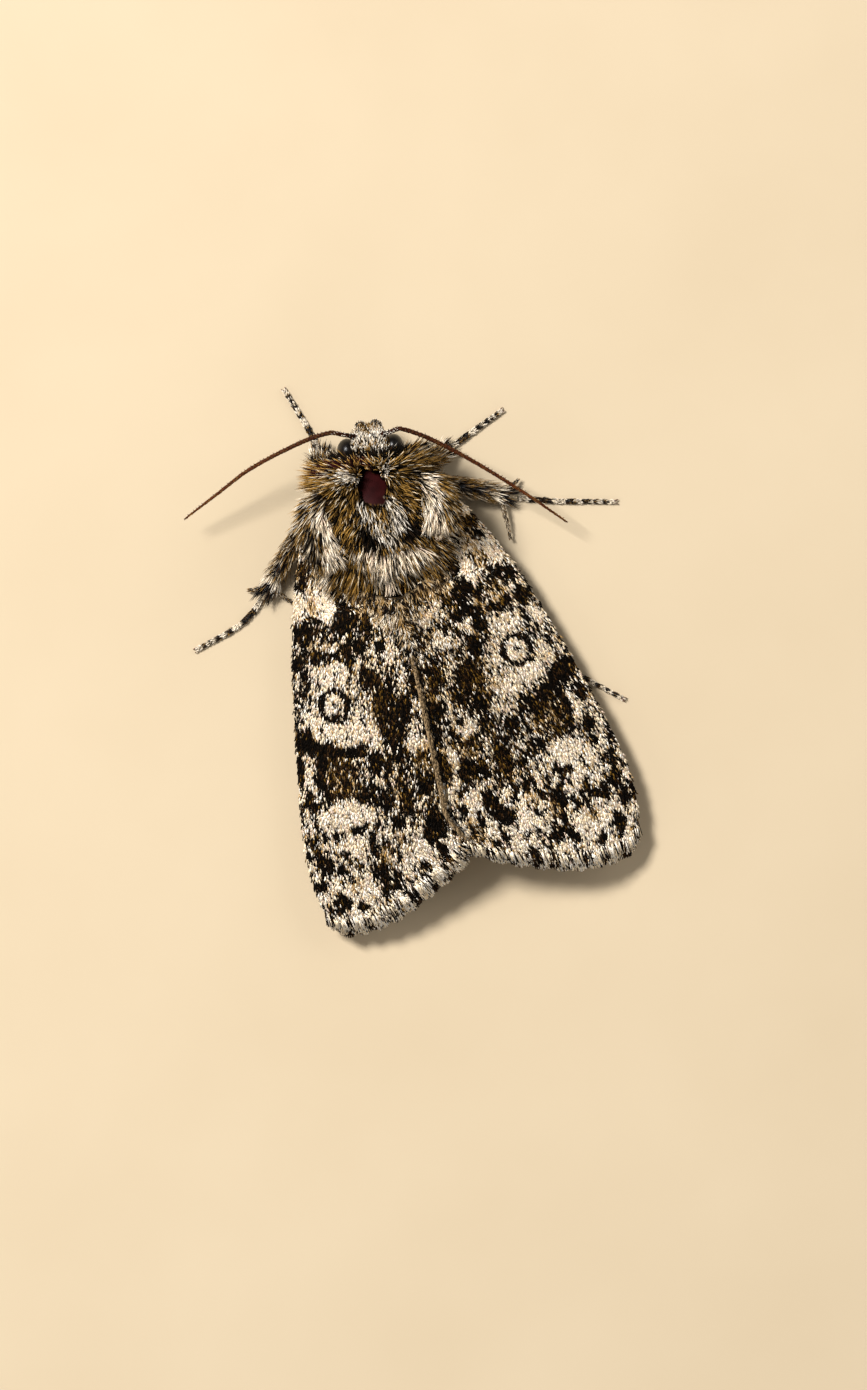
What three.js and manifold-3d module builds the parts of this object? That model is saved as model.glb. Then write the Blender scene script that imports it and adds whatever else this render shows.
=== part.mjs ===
// A Poplar Grey moth at rest, life size, as a still museum model.
// Millimetres, +Z up. The head points along -Y, the moth's own left side is +X,
// and it stands on the flat undersides of its six tarsi at z = 0.
import * as THREE from 'three';
import { mergeVertices } from 'three/addons/utils/BufferGeometryUtils.js';
import Module from 'manifold-3d';

const wasm = await Module();
wasm.setup();

const { lerp, clamp, smoothstep, degToRad } = THREE.MathUtils;

// A smooth curve through [position, value] pairs, read as a function.
function through(pairs) {
  const last = pairs.length - 1;
  const slope = (i) => {
    const [before, after] = [pairs[Math.max(i - 1, 0)], pairs[Math.min(i + 1, last)]];
    return (after[1] - before[1]) / (after[0] - before[0]);
  };
  return (x) => {
    if (x <= pairs[0][0]) return pairs[0][1];
    if (x >= pairs[last][0]) return pairs[last][1];
    const i = pairs.findIndex((pair) => pair[0] > x) - 1;
    const span = pairs[i + 1][0] - pairs[i][0];
    const u = (x - pairs[i][0]) / span;
    const leave = u * (1 - u) * (1 - u);
    const arrive = u * u * (u - 1);
    const rise = u * u * (3 - 2 * u);
    return lerp(pairs[i][1], pairs[i + 1][1], rise) + span * (slope(i) * leave + slope(i + 1) * arrive);
  };
}

// ---------------------------------------------------------------------------
// Driving dimensions
// ---------------------------------------------------------------------------

// The model is drawn about the point where the two forewings first meet behind
// the thorax, then moved so that its box is centred over the origin.
const CENTRE = [-0.4062, 0.1635];

const GAP = 0.28; // clearance kept between neighbouring pieces
const SHORTEST_EDGE = 0.012; // finer facets are merged where locks are joined to a form

// The body's middle line, seen from above, bends a little: X by Y.
const MIDLINE = through([[-8.6, 0.05], [-7, 0.3], [-3.7, 0.22], [0, 0.05], [8, 0.05]]);

// The body's core by Y: half its width, its back and its underside.
const BODY_HALF_WIDTH = through([[-8, 1.35], [-7.5, 1.65], [-6.5, 2.05], [-5.2, 2.15], [-3.8, 1.95],
  [-2.6, 1.42], [-1.6, 1.36], [0, 1.5], [3.5, 1.45], [6, 1.15], [7.6, 0.55]]);
const BODY_TOP = through([[-8, 3.95], [-7.5, 4.15], [-6.4, 4.5], [-5.2, 4.65], [-3.8, 4.35], [-2.7, 3.4],
  [-2.3, 2.75], [0, 2.6], [3.5, 2.4], [6, 2.1], [7.6, 1.7]]);
const BODY_UNDER = through([[-8, 1.75], [-7.5, 1.55], [-6.5, 1.35], [-5.2, 1.25], [-3.8, 1.2],
  [-2.3, 0.9], [0, 0.7], [3.5, 0.6], [6, 0.75], [7.6, 1]]);
const COLLAR = [-7.95, -7.55];
const THORAX = [-7.27, -2.6];
const ABDOMEN = [-2.32, 7.6];
const ABDOMEN_SEGMENTS = 7;
const TAIL_TUFT_END = 8.3;

// Head: its own centre, turned a little towards the moth's right.
const HEAD_CENTRE = [-0.05, -9.0, 2.8];
const HEAD_TURN = -6;
const HEAD_RADII = [1.2, 0.78, 1.1];
const EYE_CENTRE = [1.12, -0.02, 0.05];
const EYE_RADII = [0.5, 0.68, 0.74];
const PALP = [[0.45, -0.62, -1.34], [0.47, -1.12, -1.25], [0.48, -1.38, -0.75], [0.45, -1.36, -0.25]];

// Antennae, from the scape's end to the tip.
const ANTENNA_ROOT = [0.45, -0.5, 0.9]; // from the head's centre
const ANTENNAE = {
  left: [[1.62, -9.92, 4.2], [3.07, -9.76, 3.85], [5.53, -9.1, 3.1], [7.22, -8.34, 2.45], [8.87, -7.58, 1.8]],
  right: [[-1.55, -9.44, 4.2], [-2.76, -8.73, 3.85], [-4.35, -7.46, 3.3], [-6.29, -5.66, 2.6],
    [-8.08, -3.83, 1.8]],
};
const ANTENNA_RADIUS = 0.25;

// Tegulae, the scaled flaps over the wing roots, from front to rear, out from the midline.
const TEGULA_ROOM = GAP + 0.24; // kept free round it, for its locks too
const TEGULA = [[2.15, -7.15, 3.95], [2.6, -6.5, 4.3], [2.7, -5.5, 4.45], [2.48, -4.3, 4.5]];

// Forewings: where each one's chord starts and ends, seen from above.
const WINGS = {
  left: { side: 1, base: [3.56, -6.54], apex: [6.32, 12.11], bulge: 0.9 },
  right: { side: -1, base: [-2.84, -6.94], apex: [-8.42, 10.97], bulge: 1.1 },
};
const WING_ROOT_FROM_MIDLINE = 2.56; // the inner edge's distance from it beside the thorax
const FOREWING_THICKNESS = 0.55;
const HINDWING_THICKNESS = 0.5;
const FRINGE_THICKNESS = 0.3;
const SCALLOP = 0.12; // how far the fringe stands out between two veins
const VEIN_HEIGHT = 0.14;
const VEIN_HALF_WIDTH = 0.2;
const EDGE_HEIGHT = 1.3; // top of the costal edge above the floor
const ROOT_RISE = 1.7; // how much higher the costal edge starts at the wing's root

// Height of the line where the wings meet, the ridge of the roof, by Y.
const RIDGE = through([[-6.5, 3.55], [-4.5, 4.1], [-2, 4.85], [1, 4.75], [5, 4.25], [9, 3.45], [12, 3]]);

// Main veins of the forewing, each as [name, parent, points]. A point is [reach, share]: the
// share of the way out from the root to the outer edge, and of the way across from the costal
// edge. A vein with a parent leaves it at its first point; one that ends at share 0 runs into
// the costal edge.
const FOREWING_VEINS = [
  ['Sc', null, [[0, 0.2], [0.11, 0.26], [0.2, 0.15], [0.33, 0.09], [0.5, 0.03], [0.54, 0]]],
  ['R', null, [[0, 0.4], [0.11, 0.46], [0.25, 0.24], [0.41, 0.22], [0.57, 0.19], [0.73, 0.13], [0.95, 0]]],
  ['R1', 'R', [[0.3, 0.22], [0.49, 0.12], [0.65, 0.04], [0.7, 0]]],
  ['R2', 'R', [[0.46, 0.21], [0.57, 0.16], [0.73, 0.06], [0.8, 0]]],
  ['R3', 'R', [[0.6, 0.18], [0.73, 0.1], [0.88, 0]]],
  ['R5', 'R', [[0.6, 0.18], [0.73, 0.19], [0.89, 0.19], [1, 0.1]]],
  ['M1', 'R', [[0.5, 0.21], [0.57, 0.25], [0.73, 0.3], [0.89, 0.36], [1, 0.31]]],
  ['M', null, [[0, 0.6], [0.11, 0.62], [0.25, 0.48], [0.41, 0.51], [0.65, 0.48], [0.81, 0.5], [1, 0.54]]],
  ['M3', 'M', [[0.52, 0.51], [0.65, 0.55], [0.81, 0.58], [1, 0.67]]],
  ['Cu1', 'M', [[0.44, 0.52], [0.65, 0.61], [0.81, 0.66], [1, 0.79]]],
  ['Cu2', 'M', [[0.36, 0.51], [0.49, 0.6], [0.65, 0.69], [0.81, 0.74], [1, 0.88]]],
  ['A', null, [[0, 0.8], [0.11, 0.8], [0.25, 0.7], [0.41, 0.79], [0.65, 0.82], [0.85, 0.87], [1, 0.955]]],
];
// The outer edge of the forewing: how far out it lies by the share across.
const FOREWING_TERMEN = through([[0, 18.75], [0.1, 19.2], [0.25, 19.1], [0.45, 18.6], [0.6, 17.95],
  [0.78, 17], [0.9, 16.3], [1, 15.5]]);
const FOREWING_STATIONS = [0, 0.05, 0.11, 0.18, 0.25, 0.33, 0.41, 0.49, 0.57, 0.65, 0.73, 0.81, 0.89,
  0.95, 1];

// The folded hindwing lies under the inner part of the forewing and starts further back.
const HINDWING_START = 2.9;
const HINDWING_VEINS = [
  ['Sc', null, [[0, 0.2], [0.5, 0.12], [1, 0.16]]],
  ['M', null, [[0, 0.5], [0.5, 0.42], [1, 0.38]]],
  ['M3', 'M', [[0.45, 0.43], [0.7, 0.52], [1, 0.56]]],
  ['Cu', null, [[0, 0.8], [0.5, 0.75], [1, 0.78]]],
];
const HINDWING_TERMEN = through([[0, 12.8], [0.2, 13.4], [0.5, 13.5], [0.8, 13], [1, 12.2]]);
const HINDWING_STATIONS = [0, 0.1, 0.22, 0.36, 0.52, 0.68, 0.82, 0.93, 1];

// Legs: root of the coxa, hip, knee, ankle, the tarsus on the floor, and the tips of the
// tibia's spurs, each from the place on the tibia that it grows from (0 at the knee, 1 at the ankle).
const LEGS = {
  front_left: { coxa: [0.85, -6.6, 1.0], hip: [1.2, -6.9, 0.68], knee: [2.7, -7.75, 1.15],
    ankle: [2.28, -9.25, 0.48], tarsus: [[2.3, -9.5], [2.64, -10.67], [3.25, -12.38]], spurs: [] },
  front_right: { coxa: [-0.55, -6.6, 1.0], hip: [-0.85, -6.95, 0.68], knee: [-2.1, -7.6, 1.0],
    ankle: [-3.38, -8.17, 0.48], tarsus: [[-3.6, -8.28], [-4.87, -8.84], [-6.21, -9.44]], spurs: [] },
  middle_left: { coxa: [1.1, -5.0, 0.95], hip: [1.5, -5.2, 0.65], knee: [3.7, -6.15, 1.15],
    ankle: [6.05, -3.5, 0.52], tarsus: [[6.25, -3.25], [7.4, -2.4], [9.62, -1.67]],
    spurs: [[0.9, [-0.95, 1.0, -0.25]], [0.92, [0.95, -0.1, -0.25]]] },
  middle_right: { coxa: [-0.7, -5.0, 0.95], hip: [-1.1, -5.25, 0.65], knee: [-2.95, -6.75, 1.35],
    ankle: [-5.8, -5.55, 0.52], tarsus: [[-6.1, -5.4], [-7.76, -4.92], [-10.45, -4.31]],
    spurs: [[0.86, [-0.05, 2.1, -0.25]], [0.9, [-0.85, -0.55, -0.25]]] },
  hind_left: { coxa: [1.0, -3.3, 0.85], hip: [1.35, -3.2, 0.6], knee: [3.0, -2.4, 0.95],
    ankle: [4.05, 1.6, 0.52], tarsus: [[4.12, 1.95], [4.5, 4], [4.85, 6.1]],
    spurs: [[0.6, [0.8, 0.85, -0.3]], [0.93, [0.9, 0.65, -0.2]], [0.93, [-0.8, 0.75, -0.2]]] },
  hind_right: { coxa: [-0.75, -3.3, 0.85], hip: [-1.1, -3.2, 0.6], knee: [-3.2, -2.4, 0.95],
    ankle: [-5.4, 1.5, 0.52], tarsus: [[-5.62, 1.76], [-7.45, 3.33], [-8.95, 4.58]],
    spurs: [[0.6, [-1.1, 0.3, -0.3]], [0.93, [0.5, 1.0, -0.2]], [0.93, [-1.0, -0.2, -0.2]]] },
};
const COXA_RADIUS = 0.3;
const FEMUR_RADIUS = 0.36;
const TIBIA_RADIUS = 0.33;
const TARSUS_RADIUS = 0.26;
const TARSUS_HEIGHT = 0.3; // from its middle line to its top
const TARSUS_LIFT = 0.18; // of its middle line above the floor
const TARSUS_SEGMENTS = 5;
const SPUR_RADIUS = 0.2;

// Coat: the locks of hair-scales in the solids.
const LOCK_THICKNESS = 0.3;
const THORAX_LOCK = { length: 1.55, width: 1.0, lift: 0.5 };
const SCUTELLUM_LOCK = { length: 1.0, width: 0.8, lift: 0.6 };
const COLLAR_LOCK = { length: 0.95, width: 0.8, lift: 0.05 };
const TEGULA_LOCK = { length: 1.35, width: 0.75, lift: 0.15 };
const FACE_LOCK = { length: 0.5, width: 0.45, lift: 0.05 };
const FACE_LOCK_ROWS = [[5, 4, 32], [32, 3, 15], [112, 3, 30]]; // height, count and spread in degrees
const TAIL_LOCK = { length: 1.0, width: 0.6, lift: 0.05 };
const LEG_LOCK = { length: 0.85, width: 0.5, lift: 0.05 };
const LEG_LOCKS = { front: 4, middle: 7, hind: 7 };

// ---------------------------------------------------------------------------
// Finishes
// ---------------------------------------------------------------------------

function finish(color, roughness, metalness = 0) {
  return new THREE.MeshStandardMaterial({ color, roughness, metalness });
}
const WING_SCALES = finish(0x8d8270, 0.85);
const HINDWING_SCALES = finish(0xb9ae9c, 0.85);
const BODY_HAIR = finish(0x7a6a50, 0.9);
const BELLY_HAIR = finish(0xa79b87, 0.9);
const EYE = finish(0x120f0e, 0.15);
const ANTENNA = finish(0x6b3d1c, 0.55);
const LEG_SCALES = finish(0x5b5044, 0.8);

// ---------------------------------------------------------------------------
// Making closed solids
// ---------------------------------------------------------------------------

// Positions only, with shared corners merged and the triangles that this flattens dropped.
function closed(geometry) {
  const bare = new THREE.BufferGeometry();
  bare.setAttribute('position', geometry.getAttribute('position'));
  bare.setIndex(geometry.getIndex());
  const merged = mergeVertices(bare, 1e-3);
  const index = merged.getIndex().array;
  const kept = [];
  for (let i = 0; i < index.length; i += 3) {
    const [a, b, c] = [index[i], index[i + 1], index[i + 2]];
    if (a !== b && b !== c && c !== a) kept.push(a, b, c);
  }
  merged.setIndex(kept);
  return merged;
}

function toSolid(geometry) {
  const shell = closed(geometry);
  return new wasm.Manifold(new wasm.Mesh({
    numProp: 3,
    vertProperties: Float32Array.from(shell.getAttribute('position').array),
    triVerts: Uint32Array.from(shell.getIndex().array),
  }));
}

// The largest closed body of a solid, without its shortest edges, as a geometry.
function toGeometry(solid) {
  const bodies = solid.simplify(SHORTEST_EDGE).decompose();
  const largest = bodies.reduce((best, body) => (body.volume() > best.volume() ? body : best));
  const mesh = largest.getMesh();
  const geometry = new THREE.BufferGeometry();
  geometry.setAttribute('position', new THREE.BufferAttribute(Float32Array.from(mesh.vertProperties), 3));
  geometry.setIndex(Array.from(mesh.triVerts));
  return geometry;
}

// Pieces joined into one solid, less what neighbours need.
function fuse(geometries, cuts = []) {
  const whole = geometries.map(toSolid).reduce((sum, piece) => sum.add(piece));
  return toGeometry(cuts.map(toSolid).reduce((rest, cut) => rest.subtract(cut), whole));
}

function vector(point) {
  return new THREE.Vector3(...point);
}

// A bar along a curve. Its section is an ellipse, `wide` across and `high` towards `up`,
// each a function of the way along from 0 to 1. `floor` flattens what would pass below it,
// and `turn` rolls the section.
function bar(points, section) {
  const { wide, high = wide, up = [0, 0, 1], sides = 8, steps = 6, floor = -Infinity, turn = 0 } = section;
  const curve = new THREE.CatmullRomCurve3(points.map(vector));
  const geometry = new THREE.CylinderGeometry(1, 1, 1, sides, steps, false, turn);
  const position = geometry.getAttribute('position');
  const upward = vector(up);
  for (let i = 0; i < position.count; i += 1) {
    const along = clamp(position.getY(i) + 0.5, 0, 1);
    const tangent = curve.getTangentAt(along);
    const across = tangent.clone().cross(upward).normalize();
    const top = across.clone().cross(tangent);
    const point = curve.getPointAt(along)
      .addScaledVector(across, position.getX(i) * wide(along))
      .addScaledVector(top, position.getZ(i) * high(along));
    position.setXYZ(i, point.x, point.y, Math.max(point.z, floor));
  }
  return closed(geometry);
}

// A flat lock of hair-scales: it grows out of `root`, lifts off along `normal`, lies along
// `lie`, bends back down and tapers to its tip.
function lock(root, normal, lie, { length, width, lift }, { sink = 0.3, floor = -Infinity } = {}) {
  const at = (out, along) => root.clone().addScaledVector(normal, out).addScaledVector(lie, along).toArray();
  const taper = (t) => lerp(0.75, 1, smoothstep(t, 0, 0.4)) * (1 - smoothstep(t, 0.35, 1.02) * 0.9);
  return bar([at(-sink, 0), at(0.45 * lift, 0.3 * length), at(lift, 0.7 * length), at(0.75 * lift, length)], {
    wide: (t) => (width / 2) * taper(t),
    high: (t) => (LOCK_THICKNESS / 2) * lerp(1, 0.4, t * t),
    up: normal.toArray(),
    sides: 4,
    steps: 4,
    floor,
  });
}

// A seeded draw from 0 to 1, so that locks vary and always come out the same.
let seed = 20;
function draw() {
  seed = (seed * 48271) % 2147483647;
  return seed / 2147483647;
}
function varied(size) {
  const length = size.length * lerp(0.88, 1.12, draw());
  const width = size.width * lerp(0.9, 1.1, draw());
  return { ...size, length, width };
}

const moth = new THREE.Group();
const model = new THREE.Group();
model.position.set(-CENTRE[0], -CENTRE[1], 0);
moth.add(model);

function addPiece(name, geometry, material, parent = model) {
  geometry.computeVertexNormals();
  const mesh = new THREE.Mesh(geometry, material);
  mesh.name = name;
  parent.add(mesh);
}

const SIDES = [['left', 1], ['right', -1]];

// ---------------------------------------------------------------------------
// Body: collar, thorax and abdomen are lengths of one tapering form
// ---------------------------------------------------------------------------

// A place on the body's core: `turn` in degrees from the top of the back towards the left.
function onBody(y, turn, swell = 1) {
  const middle = (BODY_TOP(y) + BODY_UNDER(y)) / 2;
  const half = (BODY_TOP(y) - BODY_UNDER(y)) / 2;
  const x = MIDLINE(y) + BODY_HALF_WIDTH(y) * swell * Math.sin(degToRad(turn));
  return new THREE.Vector3(x, y, middle + half * swell * Math.cos(degToRad(turn)));
}

function bodyNormal(y, turn) {
  const alongBody = onBody(y + 0.05, turn).sub(onBody(y - 0.05, turn));
  const roundBody = onBody(y, turn + 2).sub(onBody(y, turn - 2));
  return alongBody.cross(roundBody).normalize().negate();
}

function bodyLength([start, end], steps, sides, swell = () => 1) {
  const geometry = new THREE.CylinderGeometry(1, 1, 1, sides, steps);
  const position = geometry.getAttribute('position');
  for (let i = 0; i < position.count; i += 1) {
    const y = lerp(start, end, clamp(position.getY(i) + 0.5, 0, 1));
    const out = Math.hypot(position.getX(i), position.getZ(i));
    const turn = (180 / Math.PI) * Math.atan2(position.getX(i), position.getZ(i));
    const core = onBody(y, 0, 0);
    const point = core.clone().lerp(onBody(y, turn, swell(y)), out);
    position.setXYZ(i, point.x, point.y, point.z);
  }
  return closed(geometry);
}

// Half the width of one abdominal ring rises a little towards its rear edge.
function ringSwell(y) {
  const length = (ABDOMEN[1] - ABDOMEN[0]) / ABDOMEN_SEGMENTS;
  const along = clamp((y - ABDOMEN[0]) / length, 0, ABDOMEN_SEGMENTS - 1e-6);
  return 0.97 + 0.05 * (along % 1);
}

// A lock on the body, lying towards the rear and turned outwards by `splay` degrees.
function bodyLock(y, turn, size, splay, lean = 0) {
  const normal = bodyNormal(y, turn);
  const outward = new THREE.Vector3(Math.sin(degToRad(splay)), Math.cos(degToRad(splay)), 0);
  const lie = outward.addScaledVector(normal, -outward.dot(normal)).normalize();
  lie.addScaledVector(normal, lean).normalize();
  return lock(onBody(y, turn), normal, lie, varied(size));
}

function tegula(side, grow = 0) {
  const path = TEGULA.map(([x, y, z]) => [MIDLINE(y) + side * x, y, z]);
  return bar(path, {
    wide: (t) => 0.25 + 0.38 * Math.sin(Math.PI * (0.1 + 0.8 * t)) + grow,
    high: () => 0.25 + grow,
    up: [side * 0.35, 0, 0.94],
    sides: 10,
    steps: 6,
  });
}

function collar() {
  const locks = [];
  const y = (COLLAR[0] + COLLAR[1]) / 2;
  for (let turn = -108; turn <= 108; turn += 24) {
    const normal = bodyNormal(y, turn);
    const forward = 0.35 * Math.max(Math.cos(degToRad(turn)), 0) ** 2;
    const lie = normal.clone().add(new THREE.Vector3(0, -forward, 0)).normalize();
    const front = new THREE.Vector3(0, -1, 0);
    locks.push(lock(onBody(y, turn, 0.9), front, lie, varied(COLLAR_LOCK), { sink: 0 }));
  }
  return fuse([bodyLength(COLLAR, 1, 20), ...locks], SIDES.map(([, side]) => tegula(side, TEGULA_ROOM)));
}

function thorax() {
  const locks = [];
  const rows = [[-6.85, 4, 50, 1], [-6.05, 5, 50, 1], [-5.2, 6, 46, 0.9], [-4.4, 5, 42, 0.75]];
  for (const [y, count, spread, shorter] of rows) {
    for (let i = 0; i < count; i += 1) {
      const turn = lerp(-spread, spread, (i + 0.5) / count);
      const size = { ...THORAX_LOCK, length: THORAX_LOCK.length * shorter };
      locks.push(bodyLock(y, turn, size, 0.25 * turn));
    }
  }
  for (let i = 0; i < 5; i += 1) {
    const turn = lerp(-30, 30, i / 4);
    locks.push(bodyLock(-3.6, turn, SCUTELLUM_LOCK, -0.2 * turn, 0.25));
  }
  return fuse([bodyLength(THORAX, 10, 20), ...locks], SIDES.map(([, side]) => tegula(side, TEGULA_ROOM)));
}

function tegulaWithLocks(side) {
  const locks = [];
  const rows = [[0.12, 3], [0.4, 3], [0.7, 3]];
  const curve = new THREE.CatmullRomCurve3(TEGULA.map(([x, y, z]) => vector([MIDLINE(y) + side * x, y, z])));
  for (const [along, count] of rows) {
    const root = curve.getPointAt(along);
    for (let i = 0; i < count; i += 1) {
      const outward = lerp(0.12, 0.5, i / (count - 1));
      const normal = vector([side * 0.3, 0, 1]).normalize();
      const across = vector([side, 0, -0.3]).normalize();
      const lie = vector([side * lerp(0.25, 0.8, i / (count - 1)), 1, -0.12]).normalize();
      const start = root.clone().addScaledVector(across, outward - 0.12).addScaledVector(normal, 0.15);
      locks.push(lock(start, normal, lie, varied(TEGULA_LOCK), { sink: 0.15 }));
    }
  }
  return fuse([tegula(side), ...locks]);
}

addPiece('collar', collar(), BODY_HAIR);
addPiece('thorax', thorax(), BODY_HAIR);
addPiece('abdomen', bodyLength(ABDOMEN, 2 * ABDOMEN_SEGMENTS, 14, ringSwell), BELLY_HAIR);
for (const [name, side] of SIDES) addPiece(`tegula_${name}`, tegulaWithLocks(side), BODY_HAIR);

function tailTuft() {
  const [start, middle] = [ABDOMEN[1] + 1.15 * GAP, 1.35];
  const core = bar([[0.05, start, middle], [0.05, TAIL_TUFT_END, middle - 0.05]],
    { wide: (t) => lerp(0.5, 0.3, t), high: (t) => lerp(0.35, 0.22, t), sides: 10, steps: 1 });
  const locks = [];
  for (let i = 0; i < 6; i += 1) {
    const round = (2 * Math.PI * (i + 0.5)) / 6;
    const normal = vector([Math.sin(round), 0, Math.cos(round)]);
    const root = vector([0.05 + 0.32 * normal.x, start + 0.32, middle + 0.2 * normal.z]);
    locks.push(lock(root, normal, vector([0, 1, 0]), varied(TAIL_LOCK), { sink: 0.1 }));
  }
  return fuse([core, ...locks]);
}
addPiece('anal_tuft', tailTuft(), BELLY_HAIR);

// ---------------------------------------------------------------------------
// Head, eyes, palps and antennae
// ---------------------------------------------------------------------------

const headGroup = new THREE.Group();
headGroup.position.set(...HEAD_CENTRE);
headGroup.rotation.z = degToRad(HEAD_TURN);
model.add(headGroup);

function ellipsoid([rx, ry, rz], [x, y, z], wide, tall) {
  const geometry = new THREE.SphereGeometry(1, wide, tall);
  geometry.rotateX(Math.PI / 2);
  geometry.scale(rx, ry, rz);
  geometry.translate(x, y, z);
  return closed(geometry);
}

// An eye is a dome on the side of the head; the socket cut for it is larger by the gap.
function eyeDome(side, grow) {
  const radii = EYE_RADII.map((radius) => radius + grow);
  return ellipsoid(radii, [side * EYE_CENTRE[0], EYE_CENTRE[1], EYE_CENTRE[2]], 14, 8);
}

// The tuft between the antennae: locks that lean forward over the face.
function head() {
  const locks = [];
  for (const [height, count, spread] of FACE_LOCK_ROWS) {
    for (let i = 0; i < count; i += 1) {
      const sideways = lerp(-spread, spread, i / (count - 1));
      const normal = vector([
        Math.sin(degToRad(sideways)),
        -Math.cos(degToRad(sideways)) * Math.cos(degToRad(height)),
        Math.cos(degToRad(sideways)) * Math.sin(degToRad(height)),
      ]);
      const root = normal.clone().multiply(vector(HEAD_RADII)).multiplyScalar(0.92);
      const lie = normal.clone().add(vector([0, 0, 0.2])).normalize();
      const flat = vector([0, -1, 1]).normalize();
      locks.push(lock(root, flat, lie, varied(FACE_LOCK), { sink: 0 }));
    }
  }
  return fuse([ellipsoid(HEAD_RADII, [0, 0, 0], 18, 12), ...locks],
    SIDES.map(([, side]) => eyeDome(side, GAP)));
}

addPiece('head', head(), BODY_HAIR, headGroup);
for (const [name, side] of SIDES) {
  addPiece(`eye_${name}`, eyeDome(side, 0), EYE, headGroup);
  addPiece(`palp_${name}`, bar(PALP.map(([x, y, z]) => [side * x, y, z]),
    { wide: (t) => lerp(0.28, 0.15, t), up: [side, 0, 0], sides: 8, steps: 5 }), BODY_HAIR, headGroup);

  const scapeRoot = vector([side * ANTENNA_ROOT[0], ANTENNA_ROOT[1], ANTENNA_ROOT[2]])
    .applyAxisAngle(new THREE.Vector3(0, 0, 1), headGroup.rotation.z).add(vector(HEAD_CENTRE));
  const flagellumStart = vector(ANTENNAE[name][0]);
  const away = flagellumStart.clone().sub(scapeRoot).normalize();
  const scapeStart = scapeRoot.clone().addScaledVector(away, 1.45 * GAP);
  const scapeEnd = flagellumStart.clone().addScaledVector(away, -1.6 * GAP);
  addPiece(`antenna_${name}_scape`, bar([scapeStart.toArray(), scapeEnd.toArray()],
    { wide: (t) => 0.25 - 0.04 * Math.abs(2 * t - 1), sides: 8, steps: 2 }), ANTENNA);
  addPiece(`antenna_${name}_flagellum`, bar(ANTENNAE[name],
    { wide: (t) => ANTENNA_RADIUS * (1 - 0.6 * t * t), sides: 8, steps: 16 }), ANTENNA);
}

// ---------------------------------------------------------------------------
// Wings
// ---------------------------------------------------------------------------

// A forewing is drawn in its own plan: a runs from the root along the chord to the apex,
// and b runs across it towards the midline.
function wingPlan({ side, base, apex, bulge }) {
  const length = Math.hypot(apex[0] - base[0], apex[1] - base[1]);
  const along = [(apex[0] - base[0]) / length, (apex[1] - base[1]) / length];
  const across = [-side * along[1], side * along[0]];
  const place = (a, b) => [
    base[0] + a * along[0] + b * across[0],
    base[1] + a * along[1] + b * across[1],
  ];

  const costa = through([[0, 0], [2, -0.45], [4, -0.85], [7, -1.1], [13, -1.15], [15.5, -0.98], [17.2, -0.6],
    [18.3, -0.1], [18.9, 0.4]]);
  const costalEdge = (a) => bulge * costa(a);

  // The line where the two wings meet, which leans to the right behind the body, and the
  // inner edge, which first passes round the thorax.
  const meetingX = (y) => side * (MIDLINE(y) - 0.48 * Math.max(0, y - 8) ** 1.3);
  const innerX = (y) => {
    const slope = meetingX(y + 0.5) - meetingX(y - 0.5);
    const round = clamp((y + 6.5) / 4.4, 0, 1);
    const halfGap = (GAP / 2) * Math.hypot(1, slope) + 0.08 * Math.abs(slope);
    return meetingX(y) + halfGap + WING_ROOT_FROM_MIDLINE * (1 - round ** 2.6) ** (1 / 2.6);
  };
  const reaching = (line) => (a) => {
    let [low, high] = [0, 10];
    for (let i = 0; i < 40; i += 1) {
      const middle = (low + high) / 2;
      const [x, y] = place(a, middle);
      if (side * x > line(y)) low = middle;
      else high = middle;
    }
    return low;
  };
  const innerEdge = reaching(innerX);
  const midline = reaching(meetingX);

  // The roof: low along the costal edge, high along the midline, a little arched.
  const height = (a, b) => {
    const share = clamp((b - costalEdge(a)) / (midline(a) - costalEdge(a)), 0, 1);
    const edge = EDGE_HEIGHT + ROOT_RISE * Math.exp(-a / 1.6);
    const ridge = RIDGE(place(a, midline(a))[1]);
    return lerp(edge, ridge, 1.25 * share - 0.25 * share * share);
  };
  return { place, costalEdge, innerEdge, height };
}

// A point of a sheet by its reach (0 at the root, 1 at the outer edge) and its share across.
function sheetPoint(sheet, t, share, out = 0) {
  const frontA = lerp(sheet.start, sheet.outer(0), t);
  const backA = lerp(sheet.start, sheet.outer(1), t);
  const bow = sheet.outer(share) - lerp(sheet.outer(0), sheet.outer(1), share);
  return {
    a: lerp(frontA, backA, share) + bow * t ** 3 + out,
    b: lerp(sheet.front(frontA), sheet.back(backA), share),
    t,
  };
}

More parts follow.
